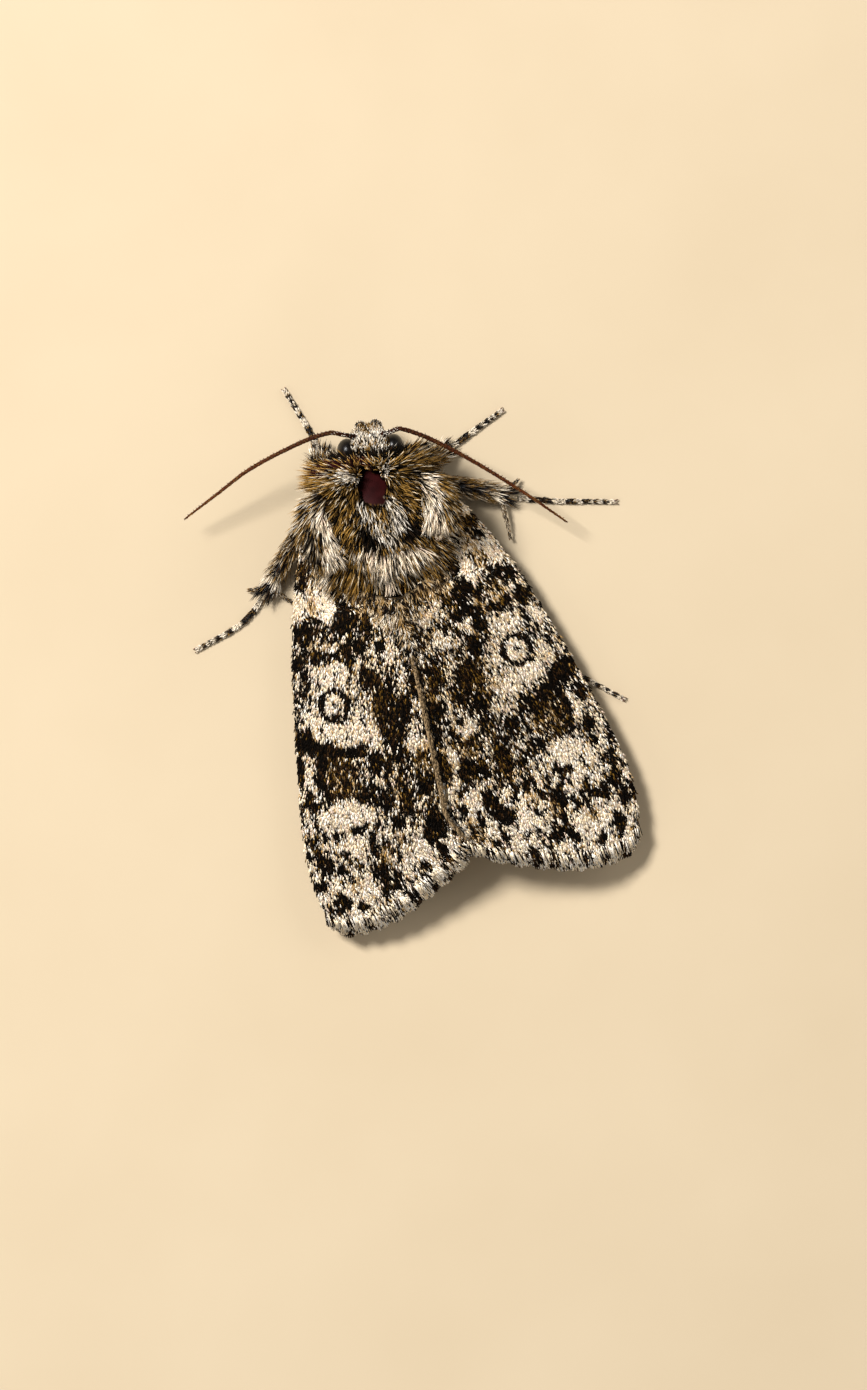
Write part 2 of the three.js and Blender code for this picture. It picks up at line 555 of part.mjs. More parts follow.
// Points across one station of a wing: its two edges, and for each vein its crest and two feet.
function stationPoints(sheet, veins, t) {
  const width = sheetPoint(sheet, t, 1).b - sheetPoint(sheet, t, 0).b;
  const crests = veins
    .filter(({ points }) => t >= points[0][0] && t <= points[points.length - 1][0])
    .map(({ name, across }) => ({ name, share: across(t) }))
    .filter(({ share }) => share * width > VEIN_HALF_WIDTH / 2)
    .sort((p, q) => p.share - q.share);

  const widest = t > 0.9 ? 0.5 : 1.6; // a wider space between veins gets a point in its middle
  const points = [{ keys: ['front'], share: 0, lift: 0 }];
  crests.forEach(({ name, share }, i) => {
    const before = i > 0 ? crests[i - 1].share : 0;
    const after = i + 1 < crests.length ? crests[i + 1].share : 1;
    const foot = (room) => Math.min(VEIN_HALF_WIDTH / width, 0.4 * room);
    points.push({ keys: [`${name}<`], share: share - foot(share - before), lift: 0 });
    points.push({ keys: [name], share, lift: 1 });
    points.push({ keys: [`${name}>`], share: share + foot(after - share), lift: 0 });
    if ((after - share) * width > widest && after < 1) {
      points.push({ keys: [`${name}+`], share: (share + after) / 2, lift: 0, out: SCALLOP });
    }
  });
  points.push({ keys: ['back'], share: 1, lift: 0 });
  return points.map((point) => ({
    ...point,
    ...sheetPoint(sheet, t, point.share, t === 1 ? point.out : 0),
  }));
}

// Where a vein starts or ends between two stations, its points share keys with what it joins.
function joinVeins(stations, veins) {
  const find = (list, key) => list.find((point) => point.keys.includes(key));
  for (let k = 0; k + 1 < stations.length; k += 1) {
    const [here, next] = [stations[k], stations[k + 1]];
    for (const { name, parent } of veins) {
      const starts = !find(here, name) && find(next, name);
      const ends = find(here, name) && !find(next, name);
      if (starts && parent && find(here, parent)) find(here, parent).keys.push(name);
      if (ends) find(next, 'front').keys.push(name);
    }
  }
}

// Triangles between two stations, from one shared key to the next.
function zip(here, next, add) {
  const pairs = [];
  here.forEach((p, i) => next.forEach((q, j) => {
    if (p.keys.some((key) => q.keys.includes(key))) pairs.push([i, j]);
  }));
  pairs.sort((p, q) => p[0] - q[0] || p[1] - q[1]);
  const kept = pairs.filter(([, j], n) => pairs.slice(0, n).every((pair) => pair[1] <= j));
  for (let n = 0; n + 1 < kept.length; n += 1) {
    let [i, j] = kept[n];
    const [lastI, lastJ] = kept[n + 1];
    while (i < lastI || j < lastJ) {
      const stepI = i < lastI ? Math.abs(here[i + 1].share - next[j].share) : Infinity;
      const stepJ = j < lastJ ? Math.abs(here[i].share - next[j + 1].share) : Infinity;
      if (stepI <= stepJ) {
        add(here[i], here[i + 1], next[j]);
        i += 1;
      } else {
        add(here[i], next[j + 1], next[j]);
        j += 1;
      }
    }
  }
}

// A thin closed sheet whose two faces are split alike: the upper one carries the veins.
function wingSheet(sheet, veinTable, stations) {
  const veins = veinTable.map(([name, parent, points]) => (
    { name, parent, points, across: through(points) }
  ));
  const rows = stations.map((t) => stationPoints(sheet, veins, t));
  joinVeins(rows, veins);
  const points = rows.flat();
  points.forEach((point, i) => { point.index = i; });
  const triangles = [];
  for (let k = 0; k + 1 < rows.length; k += 1) {
    zip(rows[k], rows[k + 1], (...corners) => {
      const [p, q, r] = corners.map(({ a, b }) => sheet.place(a, b));
      const area = (q[0] - p[0]) * (r[1] - p[1]) - (q[1] - p[1]) * (r[0] - p[0]);
      const [i, j, l] = corners.map((corner) => corner.index);
      triangles.push(area > 0 ? [i, j, l] : [i, l, j]);
    });
  }

  const count = points.length;
  const position = new Float32Array(count * 6);
  for (const { a, b, lift, t, index } of points) {
    const [x, y] = sheet.place(a, b);
    const fade = 1 - smoothstep(t, 0.93, 1);
    const under = sheet.top(a, b) - lerp(FRINGE_THICKNESS, sheet.thickness, fade);
    position.set([x, y, sheet.top(a, b) + lift * VEIN_HEIGHT * fade], index * 3);
    position.set([x, y, under], (index + count) * 3);
  }
  const faces = [];
  const edges = new Set();
  for (const [i, j, l] of triangles) {
    faces.push(i, j, l, i + count, l + count, j + count);
    for (const edge of [[i, j], [j, l], [l, i]]) edges.add(edge.join());
  }
  for (const edge of edges) {
    const [i, j] = edge.split(',').map(Number);
    if (!edges.has([j, i].join())) faces.push(j, i, i + count, j, i + count, j + count);
  }
  const geometry = new THREE.BufferGeometry();
  geometry.setAttribute('position', new THREE.BufferAttribute(position, 3));
  geometry.setIndex(faces);
  return closed(geometry);
}

for (const [name, wing] of Object.entries(WINGS)) {
  const plan = wingPlan(wing);
  const forewing = {
    place: plan.place,
    front: plan.costalEdge,
    back: plan.innerEdge,
    start: 0,
    outer: FOREWING_TERMEN,
    top: plan.height,
    thickness: FOREWING_THICKNESS,
  };
  addPiece(`forewing_${name}`, wingSheet(forewing, FOREWING_VEINS, FOREWING_STATIONS), WING_SCALES);

  const hindwing = {
    place: plan.place,
    front: (a) => lerp(plan.costalEdge(a), plan.innerEdge(a), lerp(0.52, 0.42, smoothstep(a, 3, 7))),
    back: (a) => lerp(plan.costalEdge(a), plan.innerEdge(a), lerp(0.86, 0.995, smoothstep(a, 3, 6))),
    start: HINDWING_START,
    outer: HINDWING_TERMEN,
    top: (a, b) => plan.height(a, b) - FOREWING_THICKNESS - 1.25 * GAP - VEIN_HEIGHT,
    thickness: HINDWING_THICKNESS,
  };
  addPiece(`hindwing_${name}`, wingSheet(hindwing, HINDWING_VEINS, HINDWING_STATIONS), HINDWING_SCALES);
}

// ---------------------------------------------------------------------------
// Legs
// ---------------------------------------------------------------------------

// The straight stretch between two joints, shortened at both ends for the clearance.
function between(from, to, startGap, endGap) {
  const [start, end] = [vector(from), vector(to)];
  const along = end.clone().sub(start).normalize();
  return [start.addScaledVector(along, startGap), end.addScaledVector(along, -endGap)];
}

// A sharper bend at the knee needs more room between femur and tibia.
function kneeGap({ hip, knee, ankle }) {
  const femur = vector(knee).sub(vector(hip)).normalize();
  const tibiaWay = vector(ankle).sub(vector(knee)).normalize();
  return lerp(0.22, 0.42, (1 - femur.dot(tibiaWay)) / 2);
}

function limb([start, end], radius) {
  const rounded = (t) => Math.sqrt(clamp(1 - Math.abs(2 * t - 1) ** 5, 0.25, 1));
  return bar([start.toArray(), end.toArray()], {
    wide: (t) => radius * rounded(t),
    floor: 0.1,
  });
}

// Tibiae carry spurs, and locks of scales that fringe them on both sides.
function tibia(leg, pair) {
  const [start, end] = between(leg.knee, leg.ankle, kneeGap(leg), 0.07);
  const along = end.clone().sub(start).normalize();
  const across = along.clone().cross(vector([0, 0, 1])).normalize();
  const up = across.clone().cross(along);
  const pieces = [limb([start, end], TIBIA_RADIUS)];
  for (const [from, tip] of leg.spurs) {
    const root = start.clone().lerp(end, from);
    const point = root.clone().add(vector(tip));
    const bend = root.clone().lerp(point, 0.5).add(vector([0.12 * Math.sign(tip[0]), -0.05, 0.05]));
    pieces.push(bar([root, bend, point].map((p) => p.toArray()),
      { wide: (t) => SPUR_RADIUS * (1 - 0.6 * t), sides: 5, steps: 3, floor: 0.05 }));
  }
  const lastRoot = 1 - (0.75 * LEG_LOCK.length) / start.distanceTo(end);
  for (let i = 0; i < LEG_LOCKS[pair]; i += 1) {
    const sideways = i % 2 ? 1 : -1;
    const root = start.clone().lerp(end, lerp(0.05, lastRoot, i / (LEG_LOCKS[pair] - 1)));
    const lie = along.clone().addScaledVector(across, 0.75 * sideways).normalize();
    pieces.push(lock(root, up, lie, varied(LEG_LOCK), { sink: 0, floor: 0.1 }));
  }
  return fuse(pieces);
}

// Each tarsal segment widens towards its end, and stands on a flat underside.
function tarsusSwell(t) {
  const along = Math.min(t * TARSUS_SEGMENTS, TARSUS_SEGMENTS - 1e-6) % 1;
  return lerp(0.82, 1, along) * lerp(1, 0.8, t);
}
function tarsus(path) {
  return bar(path.map(([x, y]) => [x, y, TARSUS_LIFT]), {
    wide: (t) => TARSUS_RADIUS * tarsusSwell(t),
    high: (t) => TARSUS_HEIGHT * tarsusSwell(t),
    steps: 2 * TARSUS_SEGMENTS,
    floor: 0,
    turn: Math.PI / 8,
  });
}

for (const [name, leg] of Object.entries(LEGS)) {
  const pair = name.split('_')[0];
  const coxa = between(leg.coxa, leg.hip, 0, 0.1);
  const femur = between(leg.hip, leg.knee, 0.36, kneeGap(leg));
  addPiece(`leg_${name}_coxa`, limb(coxa, COXA_RADIUS), LEG_SCALES);
  addPiece(`leg_${name}_femur`, limb(femur, FEMUR_RADIUS), LEG_SCALES);
  addPiece(`leg_${name}_tibia`, tibia(leg, pair), LEG_SCALES);
  addPiece(`leg_${name}_tarsus`, tarsus(leg.tarsus), LEG_SCALES);
}

export default moth;
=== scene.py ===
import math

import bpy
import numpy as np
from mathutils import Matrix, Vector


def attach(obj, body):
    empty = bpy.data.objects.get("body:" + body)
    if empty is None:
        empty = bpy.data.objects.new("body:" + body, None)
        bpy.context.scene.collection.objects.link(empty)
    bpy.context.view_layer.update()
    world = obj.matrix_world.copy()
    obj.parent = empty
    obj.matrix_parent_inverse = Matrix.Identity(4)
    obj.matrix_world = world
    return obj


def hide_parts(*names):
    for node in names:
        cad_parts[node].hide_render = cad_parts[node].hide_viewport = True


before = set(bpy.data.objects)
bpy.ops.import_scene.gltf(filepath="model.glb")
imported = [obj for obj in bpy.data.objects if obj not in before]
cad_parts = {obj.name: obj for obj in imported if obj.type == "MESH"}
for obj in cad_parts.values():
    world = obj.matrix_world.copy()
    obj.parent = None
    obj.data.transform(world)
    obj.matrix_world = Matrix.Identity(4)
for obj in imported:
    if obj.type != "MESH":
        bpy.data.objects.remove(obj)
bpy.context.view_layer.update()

# %% [markdown]
# # A Poplar Grey moth at rest
# A moth is a soft body under a coat of scales, flat as shingles on its thin wings and long as
# hair on its body. Ground and camera come first, then the forewings, the body with its coat, the
# feelers, eyes and claws, and the hindwings. All drawing is in millimetres about the point where
# the wings first meet behind the thorax: the head points along -Y, the moth's own left is +X, and
# +Z is up. One function moves finished points into the frame, in metres.

CENTRE = (-0.4062, 0.1635)  # millimetres from the drawing's origin to the frame's
MM = 0.001
rng = np.random.default_rng(11)


def to_frame(points):
    """Drawn points, in millimetres, as points of the frame, in metres."""
    points = np.asarray(points, float)
    return (points - np.array([CENTRE[0], CENTRE[1], 0.0])) * MM


# %% [markdown]
# ## Curves
# A wing's outline and a back's height are known at a few places. By hand they would be drawn as
# curves. Here each is a function, because every scale's root asks for its own place on it.

# %% Curves
def lerp(a, b, t):
    return a + (b - a) * t


def smoothstep(x, low, high):
    t = np.clip((x - low) / (high - low), 0, 1)
    return t * t * (3 - 2 * t)


def through(pairs):
    """A smooth curve through (position, value) pairs, read as a function of arrays."""
    xs, ys = np.array(pairs, float).T
    slopes = np.empty_like(ys)
    slopes[1:-1] = (ys[2:] - ys[:-2]) / (xs[2:] - xs[:-2])
    slopes[0], slopes[-1] = (ys[1] - ys[0]) / (xs[1] - xs[0]), (ys[-1] - ys[-2]) / (xs[-1] - xs[-2])

    def read(x):
        x = np.clip(np.asarray(x, float), xs[0], xs[-1])
        i = np.clip(np.searchsorted(xs, x, side="right") - 1, 0, len(xs) - 2)
        span = xs[i + 1] - xs[i]
        u = (x - xs[i]) / span
        bend = slopes[i] * u * (1 - u) ** 2 + slopes[i + 1] * u * u * (u - 1)
        return lerp(ys[i], ys[i + 1], u * u * (3 - 2 * u)) + span * bend

    return read


print("a hill's foot, slope and top:", through([(0, 0), (1, 1), (2, 0)])([0, 0.5, 1]))

# %% [markdown]
# ## Colour
# Every colour is written as the sRGB hex value that the eye knows, and turned into the linear
# light that the shader counts in. Patterns are mixed from a handful of scale colours, as the moth
# itself does it.

# %% Scale colours
def linear(hex_value):
    """An sRGB hex value as linear RGB."""
    srgb = np.array([(hex_value >> shift) & 255 for shift in (16, 8, 0)]) / 255
    return np.where(srgb <= 0.04045, srgb / 12.92, ((srgb + 0.055) / 1.055) ** 2.4)


INK = linear(0x0C0703)  # black-brown scales
UMBER = linear(0x37230F)
GOLD = linear(0x74541E)
OCHRE = linear(0xAE8442)
CREAM = linear(0xF6E1BF)
WHITE = linear(0xFCF1E0)
ROSE = linear(0xECD0BA)
ASH = linear(0x8F7F69)
MAROON = linear(0x240808)
print("nine scale colours, black-brown to white")

# %% [markdown]
# ## Chance
# No two scales are alike, and no border between their colours is sharp. A noise texture could do
# this, but the same chance has to colour the skin and every scale that stands on it.

# %% Noise
def hashed(i, j, seed):
    """A repeatable number from 0 to 1 for each whole-number place."""
    n = (i.astype(np.int64) * 374761393 + j.astype(np.int64) * 668265263 + seed * 144665) & 0x7FFFFFFF
    n = ((n ^ (n >> 13)) * 1274126177) & 0x7FFFFFFF
    return ((n ^ (n >> 16)) & 0xFFFF) / 65535.0


def noise(x, y, seed):
    """Smooth noise from 0 to 1, one blob to each unit of x and y."""
    x, y = np.asarray(x, float), np.asarray(y, float)
    i, j = np.floor(x), np.floor(y)
    u, v = x - i, y - j
    u, v = u * u * (3 - 2 * u), v * v * (3 - 2 * v)
    near = lerp(hashed(i, j, seed), hashed(i + 1, j, seed), u)
    far = lerp(hashed(i, j + 1, seed), hashed(i + 1, j + 1, seed), u)
    return lerp(near, far, v)


print("noise at three places:", noise([0.5, 1.5, 2.5], [0, 0, 0], 1).round(2))

# %% [markdown]
# ## Building meshes from arrays
# A coat has tens of thousands of scales. By hand one would be instanced, but a coat that is
# exported has to be real mesh, so the form is repeated in arrays and joined. Each scale has a
# small patch of the map OFBake to itself, at its root's place on an unwrap of the skin below, so
# that baked colours stay apart.

# %% Joined meshes
PATCH = 0.003  # the width of one scale's patch in the map


def mesh_piece(name, points, faces, material, colours, patches):
    """One joined mesh from drawn points. colours: one per point; patches: one UV per point."""
    mesh = bpy.data.meshes.new(name)
    faces = np.asarray(faces, np.int32)
    sides = faces.shape[1]
    mesh.vertices.add(len(points))
    mesh.vertices.foreach_set("co", to_frame(points).ravel())
    mesh.loops.add(faces.size)
    mesh.loops.foreach_set("vertex_index", faces.ravel())
    mesh.polygons.add(len(faces))
    mesh.polygons.foreach_set("loop_start", np.arange(len(faces), dtype=np.int32) * sides)
    mesh.update(calc_edges=True)
    layer = mesh.uv_layers.new(name="OFBake")
    layer.uv.foreach_set("vector", np.asarray(patches)[faces.ravel()].ravel())
    mesh.materials.append(material)
    piece = bpy.data.objects.new(name, mesh)
    paint(piece, colours)
    mesh.validate()
    bpy.context.collection.objects.link(piece)
    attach(piece, "root")
    print(f"{name}: {len(points)} points, {len(faces) * (sides - 2)} triangles")


def paint(piece, colours):
    layer = piece.data.attributes.new("Scale colour", "FLOAT_COLOR", "POINT")
    layer.data.foreach_set("color", np.c_[colours, np.ones(len(colours))].ravel())


def read_points(piece):
    """A mesh's stored points, one row each."""
    co = np.empty(len(piece.data.vertices) * 3)
    piece.data.vertices.foreach_get("co", co)
    return co.reshape(-1, 3)


def put_points(piece, points):
    piece.data.vertices.foreach_set("co", to_frame(points).ravel())


print("each scale's patch is", PATCH, "of the map wide")

# %% [markdown]
# ## Repeating a form
# Scales differ in place, direction and size, but not in form. The form is drawn once, in its own
# three axes, and every root brings its own axes, as an instance does too.

# %% Repeated forms
def repeat_form(form_points, form_faces, origins, xs, ys, zs):
    """One form, given in its own axes, set at every origin. Returns points and faces."""
    placed = (origins[:, None, :] + form_points[..., 0:1] * xs[:, None, :]
              + form_points[..., 1:2] * ys[:, None, :] + form_points[..., 2:3] * zs[:, None, :])
    count, per = len(origins), form_points.shape[-2]
    faces = (np.arange(count)[:, None, None] * per + np.asarray(form_faces)[None]).reshape(-1, 3)
    return placed.reshape(-1, 3), faces


def unit(vectors):
    return vectors / np.maximum(np.linalg.norm(vectors, axis=-1, keepdims=True), 1e-12)


def patch_map(unwrap, form_uv):
    """A patch of the map at each root: unwrap is (n, 2), form_uv the form's own (k, 2) layout."""
    return (unwrap[:, None, :] + (form_uv[None] - 0.5) * PATCH).reshape(-1, 2)


print("repeat_form, unit and patch_map are ready")

# %% [markdown]
# ## Building materials
# By hand one adds a node, sets it and draws its links. One function does just that, whatever the
# node, so that a material reads as a list of its nodes, from pattern to shader.

# %% Nodes
def node(tree, kind, settings=None, **inputs):
    """Adds one shader node with its settings, and fills or links its inputs by name."""
    made = tree.nodes.new(kind)
    for name, value in (settings or {}).items():
        setattr(made, name, value)
    for name, value in inputs.items():
        socket = made.inputs[name.replace("_", " ")]
        if isinstance(value, bpy.types.NodeSocket):
            tree.links.new(value, socket)
        else:
            socket.default_value = value
    return made


def new_material(name):
    """A material without nodes, and the tree to build in."""
    material = bpy.data.materials.new(name)
    material.use_nodes = True
    tree = material.node_tree
    tree.nodes.clear()
    return material, tree


def rgba(colour):
    return (*[float(c) for c in colour], 1.0)


print("node, new_material and rgba are ready")

# %% [markdown]
# ## The ground
# The moth sits on matt paper, pale and warm. A plane is enough, because paper is flat and its
# edges lie out of sight.

# %% Ground
bpy.ops.object.select_all(action="DESELECT")
bpy.ops.mesh.primitive_plane_add(size=0.6)
ground = bpy.context.object
ground.name = "ground"
paper, tree = new_material("pale studio paper")
# Matt paper: a faint, wide mottle keeps it from looking like a void.
mottle = node(tree, "ShaderNodeTexNoise", Scale=60.0, Detail=3.0)
blend = node(tree, "ShaderNodeMix", {"data_type": "RGBA"}, Factor=mottle.outputs["Fac"])
blend.inputs["A"].default_value = rgba(linear(0xAC9A7E))
blend.inputs["B"].default_value = rgba(linear(0xB4A388))
shader = node(tree, "ShaderNodeBsdfPrincipled", Base_Color=blend.outputs["Result"], Roughness=0.9)
node(tree, "ShaderNodeOutputMaterial", Surface=shader.outputs["BSDF"])
ground.data.materials.append(paper)
print("ground:", round(ground.dimensions.x, 2), "m wide")

# %% [markdown]
# ## Light
# A small thing needs large, close lamps: a bare bulb would draw every hair's shadow hard and
# black. One stands high on the head's side, three weaker ones fill the sides and the rear, and a
# dim, warm room the rest.

# %% Lamps
def lamp(name, place, size, power):
    """A square lamp at a place in millimetres that faces the moth."""
    data = bpy.data.lights.new(name, "AREA")
    data.size = size * MM
    data.energy = power
    made = bpy.data.objects.new(name, data)
    bpy.context.collection.objects.link(made)
    made.location = Vector(place) * MM
    made.rotation_euler = (-made.location).to_track_quat("-Z", "Y").to_euler()


lamp("key lamp", (110, -120, 250), 70, 1.7)
lamp("left fill", (260, 60, 160), 180, 0.18)
lamp("right fill", (-240, -60, 170), 180, 0.26)
lamp("rear fill", (-20, 260, 160), 180, 0.12)
world = bpy.data.worlds.new("studio room")
world.use_nodes = True
world.node_tree.nodes["Background"].inputs["Color"].default_value = (1.0, 0.97, 0.92, 1.0)
world.node_tree.nodes["Background"].inputs["Strength"].default_value = 0.22
bpy.context.scene.world = world
# Colours are shown as they were chosen, without a film's curve.
bpy.context.scene.view_settings.view_transform = "Standard"
print("four lamps and a dim room")

# %% [markdown]
# ## The camera
# One looks straight down at a moth at rest. The camera stands 28 cm away with a long lens, so
# that the roof of the wings shows no strong perspective, and is turned until the head points up
# the frame, a little to the left.

# %% Camera
CAMERA_DISTANCE = 280  # above the wings
VIEW_CENTRE = (-0.51, 2.64, 2.5)  # the drawn point in the middle of the view
VIEW_HEIGHT = 63.2  # of the view, at the wings
VIEW_TURN = 168.0  # degrees round Z

camera_data = bpy.data.cameras.new("view from above")
camera_data.sensor_width = 36
camera_data.lens = camera_data.sensor_width * CAMERA_DISTANCE / VIEW_HEIGHT
camera_data.clip_start = 0.01
camera = bpy.data.objects.new("view from above", camera_data)
bpy.context.collection.objects.link(camera)
camera.location = Vector(to_frame(VIEW_CENTRE)) + Vector((0, 0, CAMERA_DISTANCE * MM))
camera.rotation_euler = (0, 0, math.radians(VIEW_TURN))
bpy.context.scene.camera = camera
print("camera lens:", round(camera_data.lens, 1), "mm")

# %% [markdown]
# ## The shape of the forewings
# A resting moth of this kind holds its forewings as a low roof. Each is a long triangle: the
# costal edge is lowest, and the inner edge passes round the thorax and then meets the other wing
# on the ridge. It could be cut from a plane and bent, but the markings have to follow it. So it
# is drawn in its own plan, where `a` runs from the root along the chord to the apex and `b`
# across it towards the midline.

# %% Edges and heights of a wing
MIDLINE = through([(-8.6, 0.05), (-7, 0.3), (-3.7, 0.22), (0, 0.05), (8, 0.05)])
RIDGE = through([(-6.5, 3.55), (-4.5, 4.1), (-2, 4.85), (1, 4.75), (5, 4.25), (9, 3.45), (12, 3)])
COSTA = through([(0, 0), (2, -0.45), (4, -0.85), (7, -1.1), (13, -1.15), (15.5, -0.98), (17.2, -0.6),
                 (18.3, -0.1), (18.9, 0.4)])
TERMEN = through(
    [(0, 18.75), (0.1, 19.2), (0.25, 19.1), (0.45, 18.6), (0.6, 17.95), (0.78, 17), (0.9, 16.3), (1, 15.5)])
EDGE_HEIGHT, ROOT_RISE = 1.3, 1.7
OVERLAP = 0.12  # how far each wing passes the line where they meet
WING_REACH = 18.5  # from the root to the outer edge
A_TABLE = np.linspace(-0.5, 19.5, 201)  # where the inner edge is looked up
print("the roof is", float(RIDGE(0)), "mm high at the drawing's origin")

# %% [markdown]
# ## The plan of each wing
# The two forewings never lie quite alike: here the left one points further back, and the right
# one looks broader. So both come from one plan with its own root, apex and bulge, which gives the
# height and the share of the way across at every place.

# %% Wing plan
class WingPlan:
    def __init__(self, side, base, apex, bulge):
        self.side, self.base, self.bulge = side, np.array(base), bulge
        chord = np.array(apex) - self.base
        self.along = chord / np.linalg.norm(chord)
        self.across = np.array([-side * self.along[1], side * self.along[0]])

    def place(self, a, b):
        """Drawn x and y of a point of the plan."""
        a, b = np.asarray(a, float)[..., None], np.asarray(b, float)[..., None]
        return self.base + a * self.along + b * self.across

    def plan(self, x, y):
        """The plan's a and b of a drawn point."""
        offset = np.stack([x, y], -1) - self.base
        return offset @ self.along, offset @ self.across

    def costal_edge(self, a):
        return self.bulge * COSTA(a)

    def meeting_x(self, y):
        return self.side * (MIDLINE(y) - 0.48 * np.maximum(0, y - 8) ** 1.3)

    def inner_x(self, y):
        round_thorax = (1 - np.clip((y + 6.5) / 4.4, 0, 1) ** 2.6) ** (1 / 2.6)
        return self.meeting_x(y) - OVERLAP + 2.56 * round_thorax

    def reaching(self, line, a):
        low, high = np.zeros_like(a, float), np.full_like(a, 10.0, float)
        for _ in range(30):
            middle = (low + high) / 2
            point = self.place(a, middle)
            outside = self.side * point[..., 0] > line(point[..., 1])
            low, high = np.where(outside, middle, low), np.where(outside, high, middle)
        return low

    def height(self, a, b):
        """The top of the wing above the floor."""
        a, b = np.asarray(a, float), np.asarray(b, float)
        edge_b = self.costal_edge(a)
        middle_b = np.interp(a, A_TABLE, self.midline_table)
        share = np.clip((b - edge_b) / (middle_b - edge_b), 0, 1)
        edge = EDGE_HEIGHT + ROOT_RISE * np.exp(-a / 1.6)
        ridge = RIDGE(self.place(a, middle_b)[..., 1])
        return lerp(edge, ridge, 1.25 * share - 0.25 * share * share)

    def tabulate(self):
        self.midline_table = self.reaching(self.meeting_x, A_TABLE)
        self.inner_table = self.reaching(self.inner_x, A_TABLE)
        return self

    def point(self, t, share, out=0.0):
        """A point by its reach (0 root, 1 outer edge) and its share across, with its a and b."""
        front_a, back_a = t * TERMEN(0), t * TERMEN(1)
        bow = TERMEN(share) - lerp(TERMEN(0), TERMEN(1), share)
        a = lerp(front_a, back_a, share) + bow * t**3 + out
        inner = np.interp(back_a, A_TABLE, self.inner_table)
        return a, lerp(self.costal_edge(front_a), inner, share)


WINGS = {
    "left": WingPlan(1, (3.56, -6.54), (6.32, 12.11), 0.9).tabulate(),
    "right": WingPlan(-1, (-2.84, -6.94), (-8.42, 10.97), 1.1).tabulate(),
}
print("forewing chord:", round(float(np.linalg.norm(np.array([6.32, 12.11]) - [3.56, -6.54])), 1), "mm")

# %% [markdown]
# ## Veins
# The veins give a wing its faint pleats. Each is a path over the wing in (reach, share across):
# the cell's two veins leave the root, branch at the end of the cell and fan out to the edge.
# Raising the scales along them costs no points of its own.

# %% Veins
VEINS = [
    [(0, 0.2), (0.11, 0.26), (0.2, 0.15), (0.33, 0.09), (0.5, 0.03), (0.54, 0)],
    [(0, 0.4), (0.11, 0.46), (0.25, 0.24), (0.41, 0.22), (0.57, 0.19), (0.73, 0.13), (0.95, 0)],
    [(0.3, 0.22), (0.49, 0.12), (0.65, 0.04), (0.7, 0)],
    [(0.46, 0.21), (0.57, 0.16), (0.73, 0.06), (0.8, 0)],
    [(0.6, 0.18), (0.73, 0.1), (0.88, 0)],
    [(0.6, 0.18), (0.73, 0.19), (0.89, 0.19), (1, 0.1)],
    [(0.5, 0.21), (0.57, 0.25), (0.73, 0.3), (0.89, 0.36), (1, 0.31)],
    [(0, 0.6), (0.11, 0.62), (0.25, 0.48), (0.41, 0.51), (0.65, 0.48), (0.81, 0.5), (1, 0.54)],
    [(0.52, 0.51), (0.65, 0.55), (0.81, 0.58), (1, 0.67)],
    [(0.44, 0.52), (0.65, 0.61), (0.81, 0.66), (1, 0.79)],
    [(0.36, 0.51), (0.49, 0.6), (0.65, 0.69), (0.81, 0.74), (1, 0.88)],
    [(0, 0.8), (0.11, 0.8), (0.25, 0.7), (0.41, 0.79), (0.65, 0.82), (0.85, 0.87), (1, 0.955)],
]
VEIN_HEIGHT = 0.06  # how far a vein lifts the scales
VEIN_WIDTH = 0.16


def vein_lift(wing, t, share):
    front_a = t * TERMEN(0)
    width = np.interp(t * TERMEN(1), A_TABLE, wing.inner_table) - wing.costal_edge(front_a)
    lift = np.zeros(np.broadcast(t, share).shape)
    for path in VEINS:
        reach = (t >= path[0][0]) & (t <= path[-1][0])
        away = (share - through(path)(t)) * width
        lift = np.maximum(lift, np.where(reach, np.exp(-((away / VEIN_WIDTH) ** 2)), 0))
    return VEIN_HEIGHT * lift


print(len(VEINS), "veins")

# %% [markdown]
# ## Markings
# The wing is nowhere plain: it has more black scales here and more cream ones there. So a marking
# is a blot that raises or lowers the chance of a dark scale. Blots stand in groups of one
# strength, as (a, b, half length, half width) and, where one is turned, its degrees. A painted
# texture would be simpler, but these stay sharp at any size and can be moved one by one.

